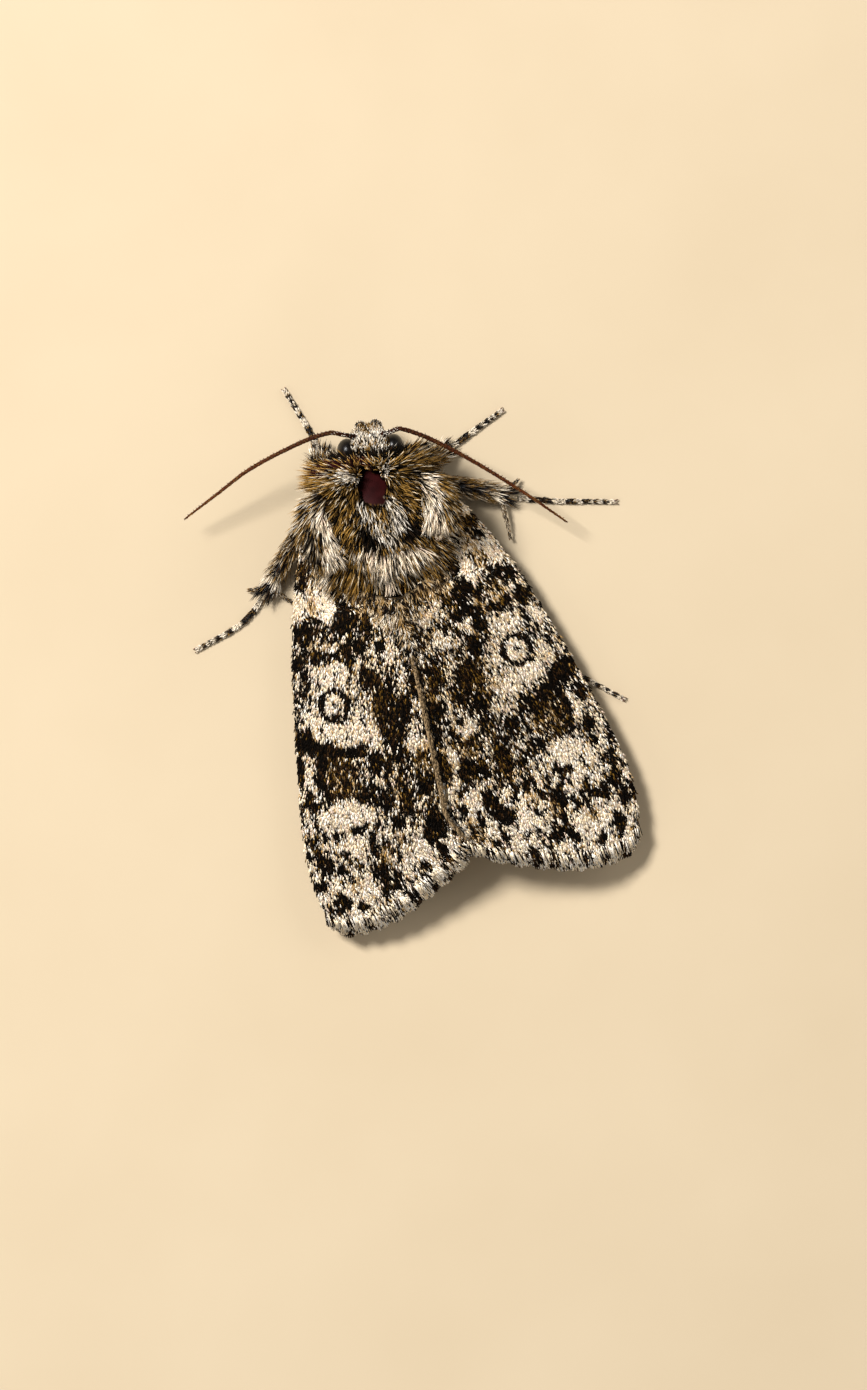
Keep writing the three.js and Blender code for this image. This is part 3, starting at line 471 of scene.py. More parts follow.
# %% Blots
# Black marks: the basal streaks, the median shade, the rows at the edge.
BLACK = {
    1: [(3.9, 1.42, 0.9, 0.16), (3.5, 1.45, 0.35, 0.24), (4.75, 1.6, 0.6, 0.42, 20),
        (6.4, -0.7, 0.42, 0.28), (6.3, 1.55, 0.55, 0.25, 5), (10.1, -0.6, 0.5, 0.5),
        (10.7, 0.5, 1.25, 0.36, 61), (11.5, -0.02, 0.7, 0.13), (12.45, 0.3, 0.3, 0.18),
        (11.3, 2.58, 0.5, 0.2, 5), (18, -0.25, 0.34, 0.15, 14), (17.5, 0.5, 0.45, 0.27, 5),
        (18.6, 0.8, 0.24, 0.18), (17.7, 1.55, 0.2, 0.28), (18.4, 1.85, 0.24, 0.17), (17.9, 2.8, 0.24, 0.18),
        (17.3, 3.8, 0.24, 0.18), (16.65, 4.72, 0.24, 0.17), (14.2, 1.6, 0.22, 0.35),
        (14.1, 5.1, 0.85, 0.38, -4), (14.7, 4.8, 0.4, 0.28), (13.6, 6.3, 0.22, 0.2),
        (10.55, 0.35, 1.3, 0.26, 63)],
    0.95: [(4.85, 2.5, 0.32, 0.3), (7.15, -0.33, 0.4, 0.13, -5), (8.9, 5.25, 0.42, 0.32),
        (3.55, 6.6, 0.5, 0.3), (10.6, 1.65, 0.26, 0.4), (15.7, -0.1, 0.28, 0.4), (16, 0.55, 0.2, 0.3),
        (16.7, -0.75, 0.4, 0.13, 8), (15.5, 5.4, 0.4, 0.16, 15), (16.2, 2.65, 0.55, 0.2, 8),
        (17, 2.6, 0.36, 0.2, -10), (16.6, 3.25, 0.42, 0.3, 10), (15.2, 3.45, 0.42, 0.1, 8),
        (13.9, 4, 0.28, 0.17), (12, 5.4, 0.36, 0.33), (12.75, 6, 0.24, 0.2), (14.3, 5.95, 0.3, 0.15, 5)],
    0.9: [(2.2, -0.15, 0.28, 0.25), (2.1, 0.9, 0.25, 0.35), (5.75, 2.15, 0.24, 0.5), (5.1, -0.5, 0.5, 0.4),
        (5.9, 3.1, 0.2, 0.18), (7.3, 2.4, 0.45, 0.4), (7.6, 4.65, 0.65, 0.35, 5), (5.2, 5.95, 0.35, 0.35),
        (4.25, 6.05, 0.22, 0.28), (11.3, -0.85, 0.4, 0.16), (12.8, -0.55, 0.3, 0.2),
        (14.9, -0.5, 0.5, 0.12, 8), (15.4, -0.35, 0.25, 0.15), (15.95, 4.4, 0.2, 0.15),
        (14.4, 0.6, 0.3, 0.13), (13.95, 2.5, 0.22, 0.15), (14.7, 2.85, 0.26, 0.15),
        (12.3, 4.75, 0.5, 0.28, 5), (9.2, 6.5, 0.35, 0.4)],
    0.85: [(2.9, -0.35, 0.2, 0.3), (2.6, 1, 0.45, 0.5), (7.7, 6.65, 0.95, 0.5), (16.6, -0.25, 0.32, 0.22),
        (15.1, 2.3, 0.6, 0.25, 10), (14, 3.45, 0.25, 0.18), (9.9, 5.7, 0.6, 0.2, 10)],
    0.8: [(1.3, 0.25, 0.5, 0.25), (6.15, 0.4, 0.2, 0.65), (8.5, 3.25, 1, 0.65, 6), (8.8, 4.1, 0.6, 0.3),
        (13.2, -0.2, 0.4, 0.08), (13.1, 3.05, 0.22, 0.1), (12.6, 3.8, 1.1, 0.28, 8), (11.2, 6.3, 0.9, 0.3),
        (10.3, 5.2, 0.3, 0.2)],
    0.75: [(10.9, 4.4, 0.25, 0.4), (9.5, 3.4, 0.6, 0.6)],
    0.7: [(4.9, 0.1, 0.35, 0.3), (6.6, 5.6, 0.5, 0.3), (12.6, 1.4, 0.14, 1), (12.6, 2.3, 0.4, 0.35),
        (11.6, 3.1, 0.5, 0.15)],
    0.65: [(10.6, 3.6, 0.6, 0.3)],
    0.6: [(5.2, 0.75, 0.4, 0.5), (15.7, 1.5, 0.3, 0.2, 20), (15.4, 1, 0.4, 0.15, 20)],
    0.55: [(12.9, 2.9, 0.35, 0.3)],
    0.45: [(11.7, 0.9, 0.8, 0.8)],
}
# Pale marks: the basal patches, the field round the ring spot, and the patches near the edge.
PALE = {
    1: [(3.9, 0.92, 0.82, 0.33), (13.5, 1.15, 0.65, 0.62), (16.95, 1.85, 0.6, 0.38), (15.4, 4.2, 0.6, 0.42),
        (10.4, 4.5, 0.32, 0.55, -8), (13.4, 5.75, 0.6, 0.3, 4)],
    0.95: [(9.55, 0.75, 0.45, 0.45), (8.3, 0.75, 0.5, 0.5), (18.05, 1.2, 0.24, 0.35),
        (18.3, 0.45, 0.24, 0.2), (15.9, 3.6, 0.45, 0.26)],
    0.9: [(16.85, 0.95, 0.35, 0.3), (16.9, 0.35, 0.22, 0.3), (17, 4.1, 0.3, 0.3), (9.8, 6.6, 0.5, 0.4, 10)],
    0.85: [(3.9, -0.5, 0.75, 0.35), (18, 2.3, 0.25, 0.2), (16.3, 4.95, 0.4, 0.3, 10),
        (6.35, 3.5, 0.35, 0.35)],
    0.8: [(9.7, 1.7, 0.5, 0.45), (14.8, 1.15, 0.4, 0.4, 30), (17.4, 3.2, 0.25, 0.25), (12.5, 6.5, 0.6, 0.3),
        (11.2, 5.75, 0.5, 0.3), (15, 5.7, 0.5, 0.2, 18)],
    0.75: [(13.9, 0.3, 0.6, 0.25, 6)],
    0.7: [(1.55, -0.2, 0.35, 0.2), (17.2, -0.3, 0.4, 0.15, 10), (14.3, 3.75, 0.35, 0.15),
        (15.7, 5, 0.6, 0.2, 16), (16.9, 0, 0.4, 0.2)],
    0.6: [(3.2, 0.05, 0.35, 0.25), (5.65, 0.6, 0.35, 0.3), (7.1, 0.9, 0.5, 0.6), (7, 0, 0.4, 0.3),
        (10.2, 2.3, 0.6, 0.25, 8), (13.3, 2.2, 0.4, 0.3, 10), (5.2, 3.8, 0.4, 0.4), (11.9, -0.4, 0.6, 0.25),
        (10.2, 5.3, 0.4, 0.25, 20)],
    0.5: [(9, 2.3, 0.8, 0.25, 10), (5.3, 5.2, 0.5, 0.4), (4.7, 3.1, 0.3, 0.25), (14, -0.6, 0.6, 0.2),
        (9.2, -0.2, 0.7, 0.4), (3, 0.4, 0.35, 0.25), (9.7, 2.6, 1, 0.25, 5)],
    0.4: [(3.7, 4.5, 0.6, 0.3), (12, 2.6, 0.5, 0.2)],
    0.35: [(3.9, 0.25, 0.6, 0.2)],
    0.25: [(8.6, 0.7, 1.6, 1.2)],
}
# Ochre scales mixed in: the kidney spot, the base, and along the inner edge.
OCHRE_BLOTS = {
    1: [(2.3, -0.3, 0.3, 0.2)],
    0.9: [(3.8, 0.15, 0.6, 0.2), (12.5, 1, 0.2, 0.6)],
    0.8: [(3.6, 2.3, 1.2, 0.5, 8), (11.7, 1, 0.75, 0.75), (11.1, 4.8, 0.5, 0.4), (15.4, 2.8, 0.5, 0.25),
        (14.6, 3.4, 0.4, 0.2)],
    0.7: [(4, 3.2, 0.7, 0.4), (14.6, 6.5, 0.6, 0.3)],
    0.6: [(2.8, 0.3, 0.4, 0.4), (11, 6.2, 0.8, 0.4), (16.6, 1.3, 0.3, 0.25), (8, 5.3, 0.8, 0.5)],
    0.5: [(5.5, 0.3, 0.6, 0.5), (4.6, 5, 1.2, 1), (8.6, 2.8, 1, 0.5), (6, 1.2, 0.5, 0.3)],
    0.4: [(12.6, 3.7, 0.9, 0.4)],
}
RING = (8.32, 0.76, 0.66, 0.63, 0.17)  # the round spot: a, b, two radii and its line's width
for name, blots in (("black", BLACK), ("pale", PALE), ("ochre", OCHRE_BLOTS)):
    print(sum(map(len, blots.values())), name, "blots")

# %% [markdown]
# ## From blots to fields
# A blot is an ellipse that fades over its rim, and at each place the strongest one counts. The
# ring spot is drawn apart, because it is a line round a pupil, and its edge is shaken by noise.

# %% Fields
BLOT_RIM = 0.04  # the ragged rim that each blot adds to its size
BLOT_REACH = 2.0  # no blot reaches further than this from its middle


def blot_field(blots, a, b):
    field = np.zeros(a.shape)
    for strength, marks in blots.items():
        for at, across, length, width, *turn in marks:
            near = (np.abs(a - at) < BLOT_REACH) & (np.abs(b - across) < BLOT_REACH)
            c, s = math.cos(math.radians(sum(turn))), math.sin(math.radians(sum(turn)))
            da, db = a[near] - at, b[near] - across
            out = np.hypot((c * da + s * db) / (length + BLOT_RIM), (c * db - s * da) / (width + BLOT_RIM))
            field[near] = np.maximum(field[near], strength * (1 - smoothstep(out, 0.72, 1.3)))
    return field


def ring_field(a, b):
    """The line of the ring spot, and the dark pupil within it."""
    at, across, radius_a, radius_b, line = RING
    ragged = 0.16 * (noise(a * 7, b * 7, 91) - 0.5)
    out = np.hypot((a - at) / radius_a, (b - across) / radius_b) + ragged
    rim = 1 - smoothstep(np.abs(out - 1) * radius_a, 0.4 * line, 1.1 * line)
    pupil = 0.7 * (1 - smoothstep(out * radius_a, 0.06, 0.26))
    return np.maximum(rim, pupil)


print("the ring spot is", 2 * RING[2], "by", 2 * RING[3], "mm")

# %% [markdown]
# ## From fields to chances
# Between its marks the wing is streaked lengthwise and flecked, more finely towards the outer
# edge. All this adds up to the chance that a scale is dark. Both wings wear the same marks,
# shifted a little and with other noise, as a moth's two sides are never mirror images.

# %% Chances
SHAKE = 0.16  # how far the noise moves a mark's edge
LEFT_BLOTS, LEFT_RING = (0.08, 0.0), (0.22, 0.08)  # how much further out these lie on the left wing


def wing_chances(side, a, b):
    """The chance that a scale here is dark, and that a light one is ochre."""
    seed = 3 if side == "left" else 4
    wa = a + SHAKE * (noise(a * 2.1, b * 2.6, seed) - 0.5) * 2
    wa = wa + SHAKE * (noise(a * 5.5, b * 7, seed + 9) - 0.5)
    wb = b + SHAKE * (noise(a * 2.1 + 40, b * 2.6, seed) - 0.5) * 2
    wb = wb + 0.7 * SHAKE * (noise(a * 5.5 + 40, b * 7, seed + 9) - 0.5)
    shift, ring_shift = (LEFT_BLOTS, LEFT_RING) if side == "left" else ((0, 0), (0, 0))
    wa, wb = wa - shift[0], wb - shift[1]
    black, pale = blot_field(BLACK, wa, wb), blot_field(PALE, wa, wb)
    ochre = blot_field(OCHRE_BLOTS, wa, wb)
    ring = ring_field(a - ring_shift[0], b - ring_shift[1])
    streak = noise(a * 1.1, b * 6.5, seed + 20)  # streaks that run along the wing
    fleck = noise(a * 3.6, b * 7.0, seed + 30)
    grain = noise(a * 6.5, b * 11.0, seed + 40)
    outer = smoothstep(a, 12.6, 14.4)
    inward = smoothstep(b, 2.0, 3.4) * (1 - outer)
    inner_root = (1 - smoothstep(a, 2.5, 7.0)) * smoothstep(b, 1.6, 2.6)
    base = 0.54 + 0.03 * inward + 0.04 * inner_root - 0.13 * outer
    base = base + 0.4 * (streak - 0.5) + lerp(0.5, 0.85, outer) * (fleck - 0.5)
    base = base + 0.7 * outer * (grain - 0.45)
    dark = base * (1 - 0.84 * pale)
    dark = lerp(dark, 0.97, black)
    dark = np.maximum(dark, ring)
    ochre = 0.13 + 0.7 * ochre + 0.1 * inward + 0.25 * inner_root - 0.1 * pale
    return np.clip(dark, 0.13, 0.97), np.clip(ochre + 0.14 * dark, 0, 1)


print("dark and ochre chances in the pupil:", wing_chances("right", *np.array([[8.32], [0.76]])))

# %% [markdown]
# ## From chances to colours
# Each scale draws a number. Below the chance it is one of the dark kinds, and otherwise a light
# one. Dark scales keep together in short rows, and no two of a kind are equally bright.

# %% Colours of wing scales
def wing_colours(side, a, b, draw):
    """One colour for each scale. draw: one number from 0 to 1 for each."""
    dark, ochre = wing_chances(side, a, b)
    seed = 50 if side == "left" else 60
    clump = 0.34 * noise(a * 3.4, b * 15, seed) + 0.2 * noise(a * 8, b * 17, seed + 1) + 0.46 * draw
    clump = (clump - 0.5) * 1.4 + 0.5
    is_dark = clump < dark
    second = hashed(np.floor(draw * 1e6), np.floor(a * 977), 5)
    third = hashed(np.floor(draw * 1e6), np.floor(b * 877), 6)
    light = np.where((second < 0.4)[..., None], WHITE, CREAM)
    light = np.where((second > 0.9)[..., None], ROSE, light)
    light = np.where((third < ochre)[..., None], lerp(OCHRE, CREAM, 0.6 * second[..., None]), light)
    deep = np.where((second < 0.96 - 0.4 * ochre)[..., None], INK, UMBER)
    deep = np.where((third < 0.3 * ochre - 0.04)[..., None], GOLD * 0.8, deep)
    fade = hashed(np.floor(draw * 1e6), np.floor(a * 613), 7)[..., None]
    return np.where(is_dark[..., None], deep * lerp(0.7, 1.2, fade), light * lerp(0.84, 1.16, fade))


print("a scale of the black wedge:", wing_colours("left", *np.array([[7.7], [6.6], [0.3]])))

# %% [markdown]
# ## Materials of the wing
# Scales are chitin with fine ridges, matt to the eye, and each has one colour, painted darker at
# its root and underside as shade and a little brighter at its tip as light. The mesh carries it,
# scale by scale, which stays sharper than a texture. The membrane shows only between scales and
# wears the same markings. Real ridges are too fine to show, so a grain about a tenth of a
# millimetre wide stands for them.

# %% Scale and membrane materials
def scale_material(name, roughness, sheen, fine=9000.0):
    """Dry chitin scales: colour from the mesh, a fine grain of ridges, and a faint sheen."""
    material, tree = new_material(name)
    colour = node(tree, "ShaderNodeAttribute", {"attribute_name": "Scale colour"})
    place = node(tree, "ShaderNodeTexCoord")
    grain = node(tree, "ShaderNodeTexNoise", Vector=place.outputs["Object"], Scale=fine, Detail=2.0)
    spread = node(
        tree, "ShaderNodeMapRange", Value=grain.outputs["Fac"], From_Min=0.3, From_Max=0.7, To_Min=0.86,
        To_Max=1.12)
    tint = node(tree, "ShaderNodeVectorMath", {"operation": "SCALE"}, Vector=colour.outputs["Color"],
                Scale=spread.outputs["Result"])
    bump = node(tree, "ShaderNodeBump", Height=grain.outputs["Fac"], Strength=0.25, Distance=0.00001)
    shader = node(
        tree, "ShaderNodeBsdfPrincipled", Base_Color=tint.outputs["Vector"], Roughness=roughness,
        Normal=bump.outputs["Normal"], Sheen_Weight=sheen, Sheen_Roughness=0.4, Specular_IOR_Level=0.06)
    node(tree, "ShaderNodeOutputMaterial", Surface=shader.outputs["BSDF"])
    return material


WING_SCALES = scale_material("dry wing scales of chitin", 0.75, 0.0)
WING_SKIN = scale_material("wing membrane with scale rows", 0.8, 0.0, 14000.0)
print("two wing materials")

# %% [markdown]
# ## The wing's upper face
# Scales, fringe and membrane stand on one face: the plan's height, raised along the veins, and
# lowered on the left wing where the right one laps over it. A sculpted mesh would do too, but a
# formula is exact at any scale's root.

# %% Upper face
MEMBRANE_THICKNESS = 0.1
SCALE_DEPTH = 0.05  # the membrane lies this far below the tips of its scales
FRINGE = 0.5  # the scales of the fringe pass the membrane by this much
RIGHT_WING_OVER = 0.14  # the right wing laps over the left where they meet


def wing_lap(side, wing, a, b):
    if side == "right":
        return np.zeros(np.shape(a))
    past = np.interp(a, A_TABLE, wing.midline_table) - b
    return -RIGHT_WING_OVER * (1 - smoothstep(past, 0.0, 0.9))


def wing_top(side, wing, t, share, out=0.0):
    """A point on the wing's upper face under the scales, with its a and b."""
    a, b = wing.point(t, share, out)
    xy = wing.place(a, b)
    z = wing.height(a, b) - SCALE_DEPTH + vein_lift(wing, t, share) + wing_lap(side, wing, a, b)
    return np.stack([xy[..., 0], xy[..., 1], z], -1), a, b


def fore_point(side, wing, t, share):
    """A point of the forewing's membrane, which ends where the fringe starts."""
    return wing_top(side, wing, t * (1 - FRINGE / WING_REACH), share)


print("middle of the left wing:", wing_top("left", WINGS["left"], *np.array([[0.5], [0.5]]))[0].round(2))

# %% [markdown]
# ## A sheet on the wing
# A real membrane is a few thousandths of a millimetre thick. Here it has a tenth, to stay a sound
# solid. A grid's points are put on the face, and Solidify thickens it downwards. A lattice could
# bend the grid, but the scales would then not know where it lies.

# %% Sheets
def apply_modifier(piece, name, kind, **settings):
    modifier = piece.modifiers.new(name, kind)
    for key, value in settings.items():
        setattr(modifier, key, value)
    bpy.ops.object.modifier_apply(modifier=modifier.name)


def wing_sheet(name, side, wing, place, rows, columns):
    """An open sheet from a grid, put in place. Also its reach, share, a and b at each point."""
    bpy.ops.object.select_all(action="DESELECT")
    bpy.ops.mesh.primitive_grid_add(x_subdivisions=rows, y_subdivisions=columns, size=1)
    piece = bpy.context.object
    piece.name = piece.data.name = name
    t, share = (read_points(piece)[:, :2] + 0.5).T
    points, a, b = place(side, wing, t, share)
    put_points(piece, points)
    piece.data.update()
    if sum(face.normal.z * face.area for face in piece.data.polygons) < 0:
        piece.data.flip_normals()
    return piece, t, share, a, b


def finish_sheet(piece):
    piece.data.materials.append(WING_SKIN)
    apply_modifier(piece, "thickness", "SOLIDIFY", thickness=MEMBRANE_THICKNESS * MM, offset=-1)
    bpy.ops.object.shade_smooth()
    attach(piece, "root")
    print(piece.name, len(piece.data.polygons), "faces")


# %% [markdown]
# ## The forewings' membranes
# Under the thorax's hairs a wing is in shadow, and the right wing's inner edge, which lies on the
# left wing, shows as a dark line with a narrow olive rim. The lamps alone would draw this, but
# the coat is coarser than a real one and lets too much light in, so the colours help.

# %% Forewing membranes
def inner_shade(side, t, share):
    past_thorax = smoothstep(t, 0.34, 0.38)
    shade = 1 - 0.95 * smoothstep(share, 0.94, 0.97) * (1 - past_thorax)
    if side == "right":
        shade = shade * (1 - 0.75 * smoothstep(share, 0.95, 0.96) * past_thorax)
    return shade


def inner_edge(side, t, share, colours):
    """The wing's colours, shaded, with an olive rim where the right wing ends on the left one."""
    colours = colours * inner_shade(side, t, share)[:, None]
    rim = (share > 0.976) & (t > 0.37) & (side == "right")
    return np.where(rim[:, None], lerp(GOLD, ASH, 0.5), colours)


for side, wing in WINGS.items():
    sheet, t, share, a, b = wing_sheet(f"forewing_membrane_{side}", side, wing, fore_point, 170, 64)
    draw = hashed(np.floor(a * 53), np.floor(b * 61), 9)
    paint(sheet, inner_edge(side, t, share, wing_colours(side, a, b, draw)))
    finish_sheet(sheet)
    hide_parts(f"forewing_{side}")

# %% [markdown]
# ## Wing scales
# A scale is a little shield: a narrow root, two shoulders, and a blunt tip that lies on the next
# row. It has eight triangles, as few as a closed shield can have. A particle system could cover a
# wing too, but wouldn't keep each scale's colour and patch of the map.

# %% One wing scale
#                  across, along, up; in widths, lengths and lifts
SCALE_FORM = np.array(
    [(0, 0, -0.3), (-0.5, 0.4, 0.45), (0.5, 0.4, 0.45), (0.34, 1, 1), (-0.34, 1, 1), (0, 0.55, -0.2)])
SCALE_FACES = [(0, 2, 1), (1, 2, 3), (1, 3, 4), (5, 0, 1), (5, 1, 4), (5, 4, 3), (5, 3, 2), (5, 2, 0)]
SCALE_UV = np.array([(0.5, 0), (0, 0.4), (1, 0.4), (0.85, 1), (0.15, 1), (0.5, 0.55)])
# Painted shade and light: each scale is darker at its root, which lies under the scale before, and on its
# underside, and brighter at its tip.
SCALE_PAINTED_SHADE = np.array([0.75, 0.98, 0.98, 1.12, 1.12, 0.6])  # a scale is paler at its tip


def lay_scales(name, roots, ups, lies, lengths, widths, lifts, colours, unwrap):
    """Sets a shield at every root, leaning along its lie, and joins them."""
    xs = unit(np.cross(lies, ups))
    ys = unit(lies - ups * np.sum(lies * ups, -1, keepdims=True))
    form = SCALE_FORM[None] * np.stack([widths, lengths, lifts], -1)[:, None, :]
    points, faces = repeat_form(form, SCALE_FACES, roots, xs, ys, ups)
    tints = (colours[:, None, :] * SCALE_PAINTED_SHADE[None, :, None]).reshape(-1, 3)
    mesh_piece(name, points, faces, WING_SCALES, tints, patch_map(unwrap, SCALE_UV))


print("a wing scale:", len(SCALE_FORM), "points,", len(SCALE_FACES), "triangles")

# %% [markdown]
# ## Laying the forewings' scales
# Scales sit in rows like roof tiles, each row half a scale aside, and point to the outer edge, or
# rearwards beside the thorax. The rows are laid over the plan, shaken a little and cut at the
# wing's edges. They are about twice as far apart as real ones, so that the coat is light enough
# to export.

# %% Forewing scales
SCALE_PITCH = (0.07, 0.063)  # along and across the wing


def wing_map(a, b):
    """The unwrap of a wing is its plan, fitted to the map."""
    return np.stack([0.02 + 0.96 * a / 19.6, 0.02 + 0.96 * (b + 1.4) / 9.8], -1)


def turned(lies, ups, angle):
    """Each lie turned about its up by an angle in radians."""
    sideways = unit(np.cross(lies, ups))
    return unit(lies * np.cos(angle)[:, None] + sideways * np.sin(angle)[:, None])


def face_frame(place, side, wing, t, share, step=0.004):
    """Points, upward normals, the ways outward, and a and b, on the face that place gives."""
    here, a, b = place(side, wing, t, share)
    further, _, _ = place(side, wing, t + step, share)
    beside, _, _ = place(side, wing, t, share + step)
    up = unit(np.cross(further - here, beside - here))
    return here, np.where(up[:, 2:] < 0, -up, up), unit(further - here), a, b


def wing_frame(side, wing, t, share):
    """Points, upward normals and lies of scales on the forewing, and a and b."""
    here, up, outward, a, b = face_frame(wing_top, side, wing, t, share)
    rearward = (smoothstep(share, 0.5, 0.9) * (1 - smoothstep(a, 3.5, 8.0)))[:, None]
    lie = lerp(outward, np.array((0.05 * wing.side, 1.0, 0.0)), rearward)
    lie = unit(lie - up * np.sum(lie * up, -1, keepdims=True))
    return here, up, lie, a, b


def plan_to_share(wing, a, b):
    """Reach and share of points of the plan, found by a few rounds of correction."""
    t, share = a / WING_REACH, np.clip((b + 1) / 7, 0, 1)
    for _ in range(25):
        found_a, found_b = wing.point(t, share)
        width = np.interp(t * TERMEN(1), A_TABLE, wing.inner_table) - wing.costal_edge(t * TERMEN(0))
        t = t + (a - found_a) / WING_REACH
        share = share + (b - found_b) / np.maximum(width, 0.3)
    return t, share


def forewing_scales(side, wing):
    along = np.arange(0.15, WING_REACH, SCALE_PITCH[0])
    across = np.arange(-1.3, 8.2, SCALE_PITCH[1])
    rows, columns = np.meshgrid(along, across, indexing="ij")
    rows = rows + SCALE_PITCH[0] * (rng.random(rows.shape) - 0.5) * 0.9
    columns = columns + SCALE_PITCH[1] * (
        0.5 * (np.arange(len(along))[:, None] % 2) + (rng.random(rows.shape) - 0.5) * 0.8)
    t, share = plan_to_share(wing, rows.ravel(), columns.ravel())
    inside = (t > 0.004) & (t < 1 - (FRINGE - 0.12) / WING_REACH) & (share > 0.002) & (share < 0.995)
    t, share = t[inside], share[inside]
    roots, ups, lies, a, b = wing_frame(side, wing, t, share)
    count = len(t)
    lies = turned(lies, ups, rng.normal(0, 0.24, count))
    colours = inner_edge(side, t, share, wing_colours(side, a, b, rng.random(count)))
    lay_scales(
        f"forewing_scales_{side}", roots, ups, lies, rng.uniform(0.2, 0.31, count),
        rng.uniform(0.052, 0.075, count), rng.uniform(0.02, 0.08, count), colours, wing_map(a, b))


for side, wing in WINGS.items():
    forewing_scales(side, wing)

# %% [markdown]
# ## Fringe
# Long, narrow scales stand out past the outer edge, cream between the veins and dark opposite
# them. Four rows that start further and further back overlap there, so that the edge is soft. A
# strip with teeth would be lighter, but single scales show against the ground.

# %% Fringe scales
# Where the dark ones lie across the wing, and each row's start and length beyond the edge.
CHEQUERS = np.array([0.05, 0.16, 0.27, 0.38, 0.49, 0.6, 0.71, 0.82, 0.92])
FRINGE_ROWS = ((0.05, 0.5), (0.15, 0.42), (0.28, 0.34), (0.42, 0.27))


def fringe_colours(share, row, draw, spots):
    away = np.abs(share[:, None] - CHEQUERS[None]).min(1)
    streak = noise(share * 130, row * 0.7, 81)
    dark = 0.2 + 0.6 * (streak - 0.5) + 0.45 * (1 - smoothstep(away, 0.012, 0.03))
    dark = np.maximum(dark, 0.9 * spots)
    light = np.where((draw * 7 % 1 < 0.6)[:, None], CREAM, WHITE)
    deep = np.where((draw * 5 % 1 < 0.6)[:, None], INK, UMBER)
    # Each scale's brightness differs at random, and on average is a tenth above its colour: painted light,
    # because the fringe lies low at the wing's side, in shade.
    return np.where((draw < dark)[:, None], deep, light) * lerp(0.9, 1.3, draw * 13 % 1)[:, None]


def fringe(side, wing, count=700):
    rows = []
    for inset, length in FRINGE_ROWS:
        share = np.clip(np.linspace(0.01, 0.99, count) + rng.normal(0, 0.002, count), 0.004, 0.992)
        t = np.full(count, 1 - (FRINGE + inset - 0.1) / WING_REACH)
        here, up, lie, a, b = wing_frame(side, wing, t, share)
        past = 1 + 0.1 * np.cos(share * 57)
        fan = (share - 0.45) * 0.5 + rng.normal(0, 0.1, count)
        rows.append((
            here + up * (0.03 - 0.05 * (inset < 0.2)), turned(lie, up, -wing.side * fan), up, share,
            (length + inset) * past * rng.uniform(0.75, 1.1, count),
            smoothstep(wing_chances(side, a, b)[0], 0.75, 0.95)))
    roots, lies, ups, share, lengths, spots = (np.concatenate(part) for part in zip(*rows))
    row = np.repeat(np.arange(len(FRINGE_ROWS)), count)
    total = len(share)
    unwrap = np.stack([0.02 + 0.96 * (0.2 * row + 0.15 * rng.random(total)), 0.02 + 0.96 * share], -1)
    lay_scales(
        f"forewing_fringe_{side}", roots, ups, lies, lengths,
        rng.uniform(0.045, 0.07, total), rng.uniform(-0.03, 0.05, total),
        fringe_colours(share, row, rng.random(total), spots), unwrap)


for side, wing in WINGS.items():
    fringe(side, wing)

# %% [markdown]
# ## The body under the coat
# Head, thorax, abdomen and legs are one skin of cuticle. It is roughed out from spheres and
# cones, as by hand, and then remeshed as one, so that no seam is left between a leg and the body.
# First come the measures along the middle line: half width, back and underside.

# %% The body's measures
HALF_WIDTH = through([(-8.6, 0.75), (-8, 1.35), (-7.5, 1.65), (-6.5, 2.05), (-5.2, 2.15),
                      (-3.8, 1.95), (-2.6, 1.42), (-1.6, 1.36), (0, 1.5), (3.5, 1.45), (6, 1.15),
                      (7.6, 0.55), (8.3, 0.25)])
BACK = through([(-8.6, 3.5), (-8, 3.95), (-7.5, 4.15), (-6.4, 4.5), (-5.2, 4.65), (-3.8, 4.35),
                (-2.7, 3.4), (-2.3, 2.75), (0, 2.6), (3.5, 2.4), (6, 2.1), (7.6, 1.7), (8.3, 1.5)])
UNDERSIDE = through([(-8.6, 2.1), (-8, 1.75), (-7.5, 1.55), (-6.5, 1.35), (-5.2, 1.25), (-3.8, 1.2),
                     (-2.3, 0.9), (0, 0.7), (3.5, 0.6), (6, 0.75), (7.6, 1.0), (8.3, 1.2)])
COAT_ROOM = 0.12  # the skin lies this far inside the solid body
BODY_START, BODY_END = -8.5, 8.1


def ring_swell(y):
    """Each ring of the abdomen widens to its rear edge and drops to the next."""
    along = np.mod((y + 2.32) / 1.417, 1)
    swell = 0.965 + 0.05 * along - 0.05 * smoothstep(along, 0.93, 1)
    return np.where(y > -2.3, swell, 1.0)


def body_point(y, turn, grow=0.0):
    """A point on the body's skin: turn in radians from the back towards the left."""
    half = HALF_WIDTH(y) * ring_swell(y) - COAT_ROOM + grow
    middle = (BACK(y) + UNDERSIDE(y)) / 2
    tall = (BACK(y) - UNDERSIDE(y)) / 2 * ring_swell(y) - COAT_ROOM + grow
    return np.stack([MIDLINE(y) + half * np.sin(turn), y, middle + tall * np.cos(turn)], -1)


def body_frame(y, turn):
    """Root, outward normal and rearward direction on the body."""
    root = body_point(y, turn)
    rearward = body_point(y + 0.05, turn) - root
    sideways = body_point(y, turn + 0.03) - root
    normal = unit(np.cross(sideways, rearward))
    outward = root - body_point(y, turn, -0.2)
    normal = np.where(np.sum(normal * outward, -1, keepdims=True) < 0, -normal, normal)
    return root, normal, unit(rearward)


print("body length without its coat:", BODY_END - BODY_START, "mm")

# %% [markdown]
# ## Legs
# A leg is coxa, femur, tibia and a tarsus of five joints. The tibiae of the middle and hind legs
# carry spurs. An armature could pose them, but this moth never moves, so each leg is a path of a
# few points, with the tarsus along the floor. A spur is its share of the tibia and the way to its
# tip.

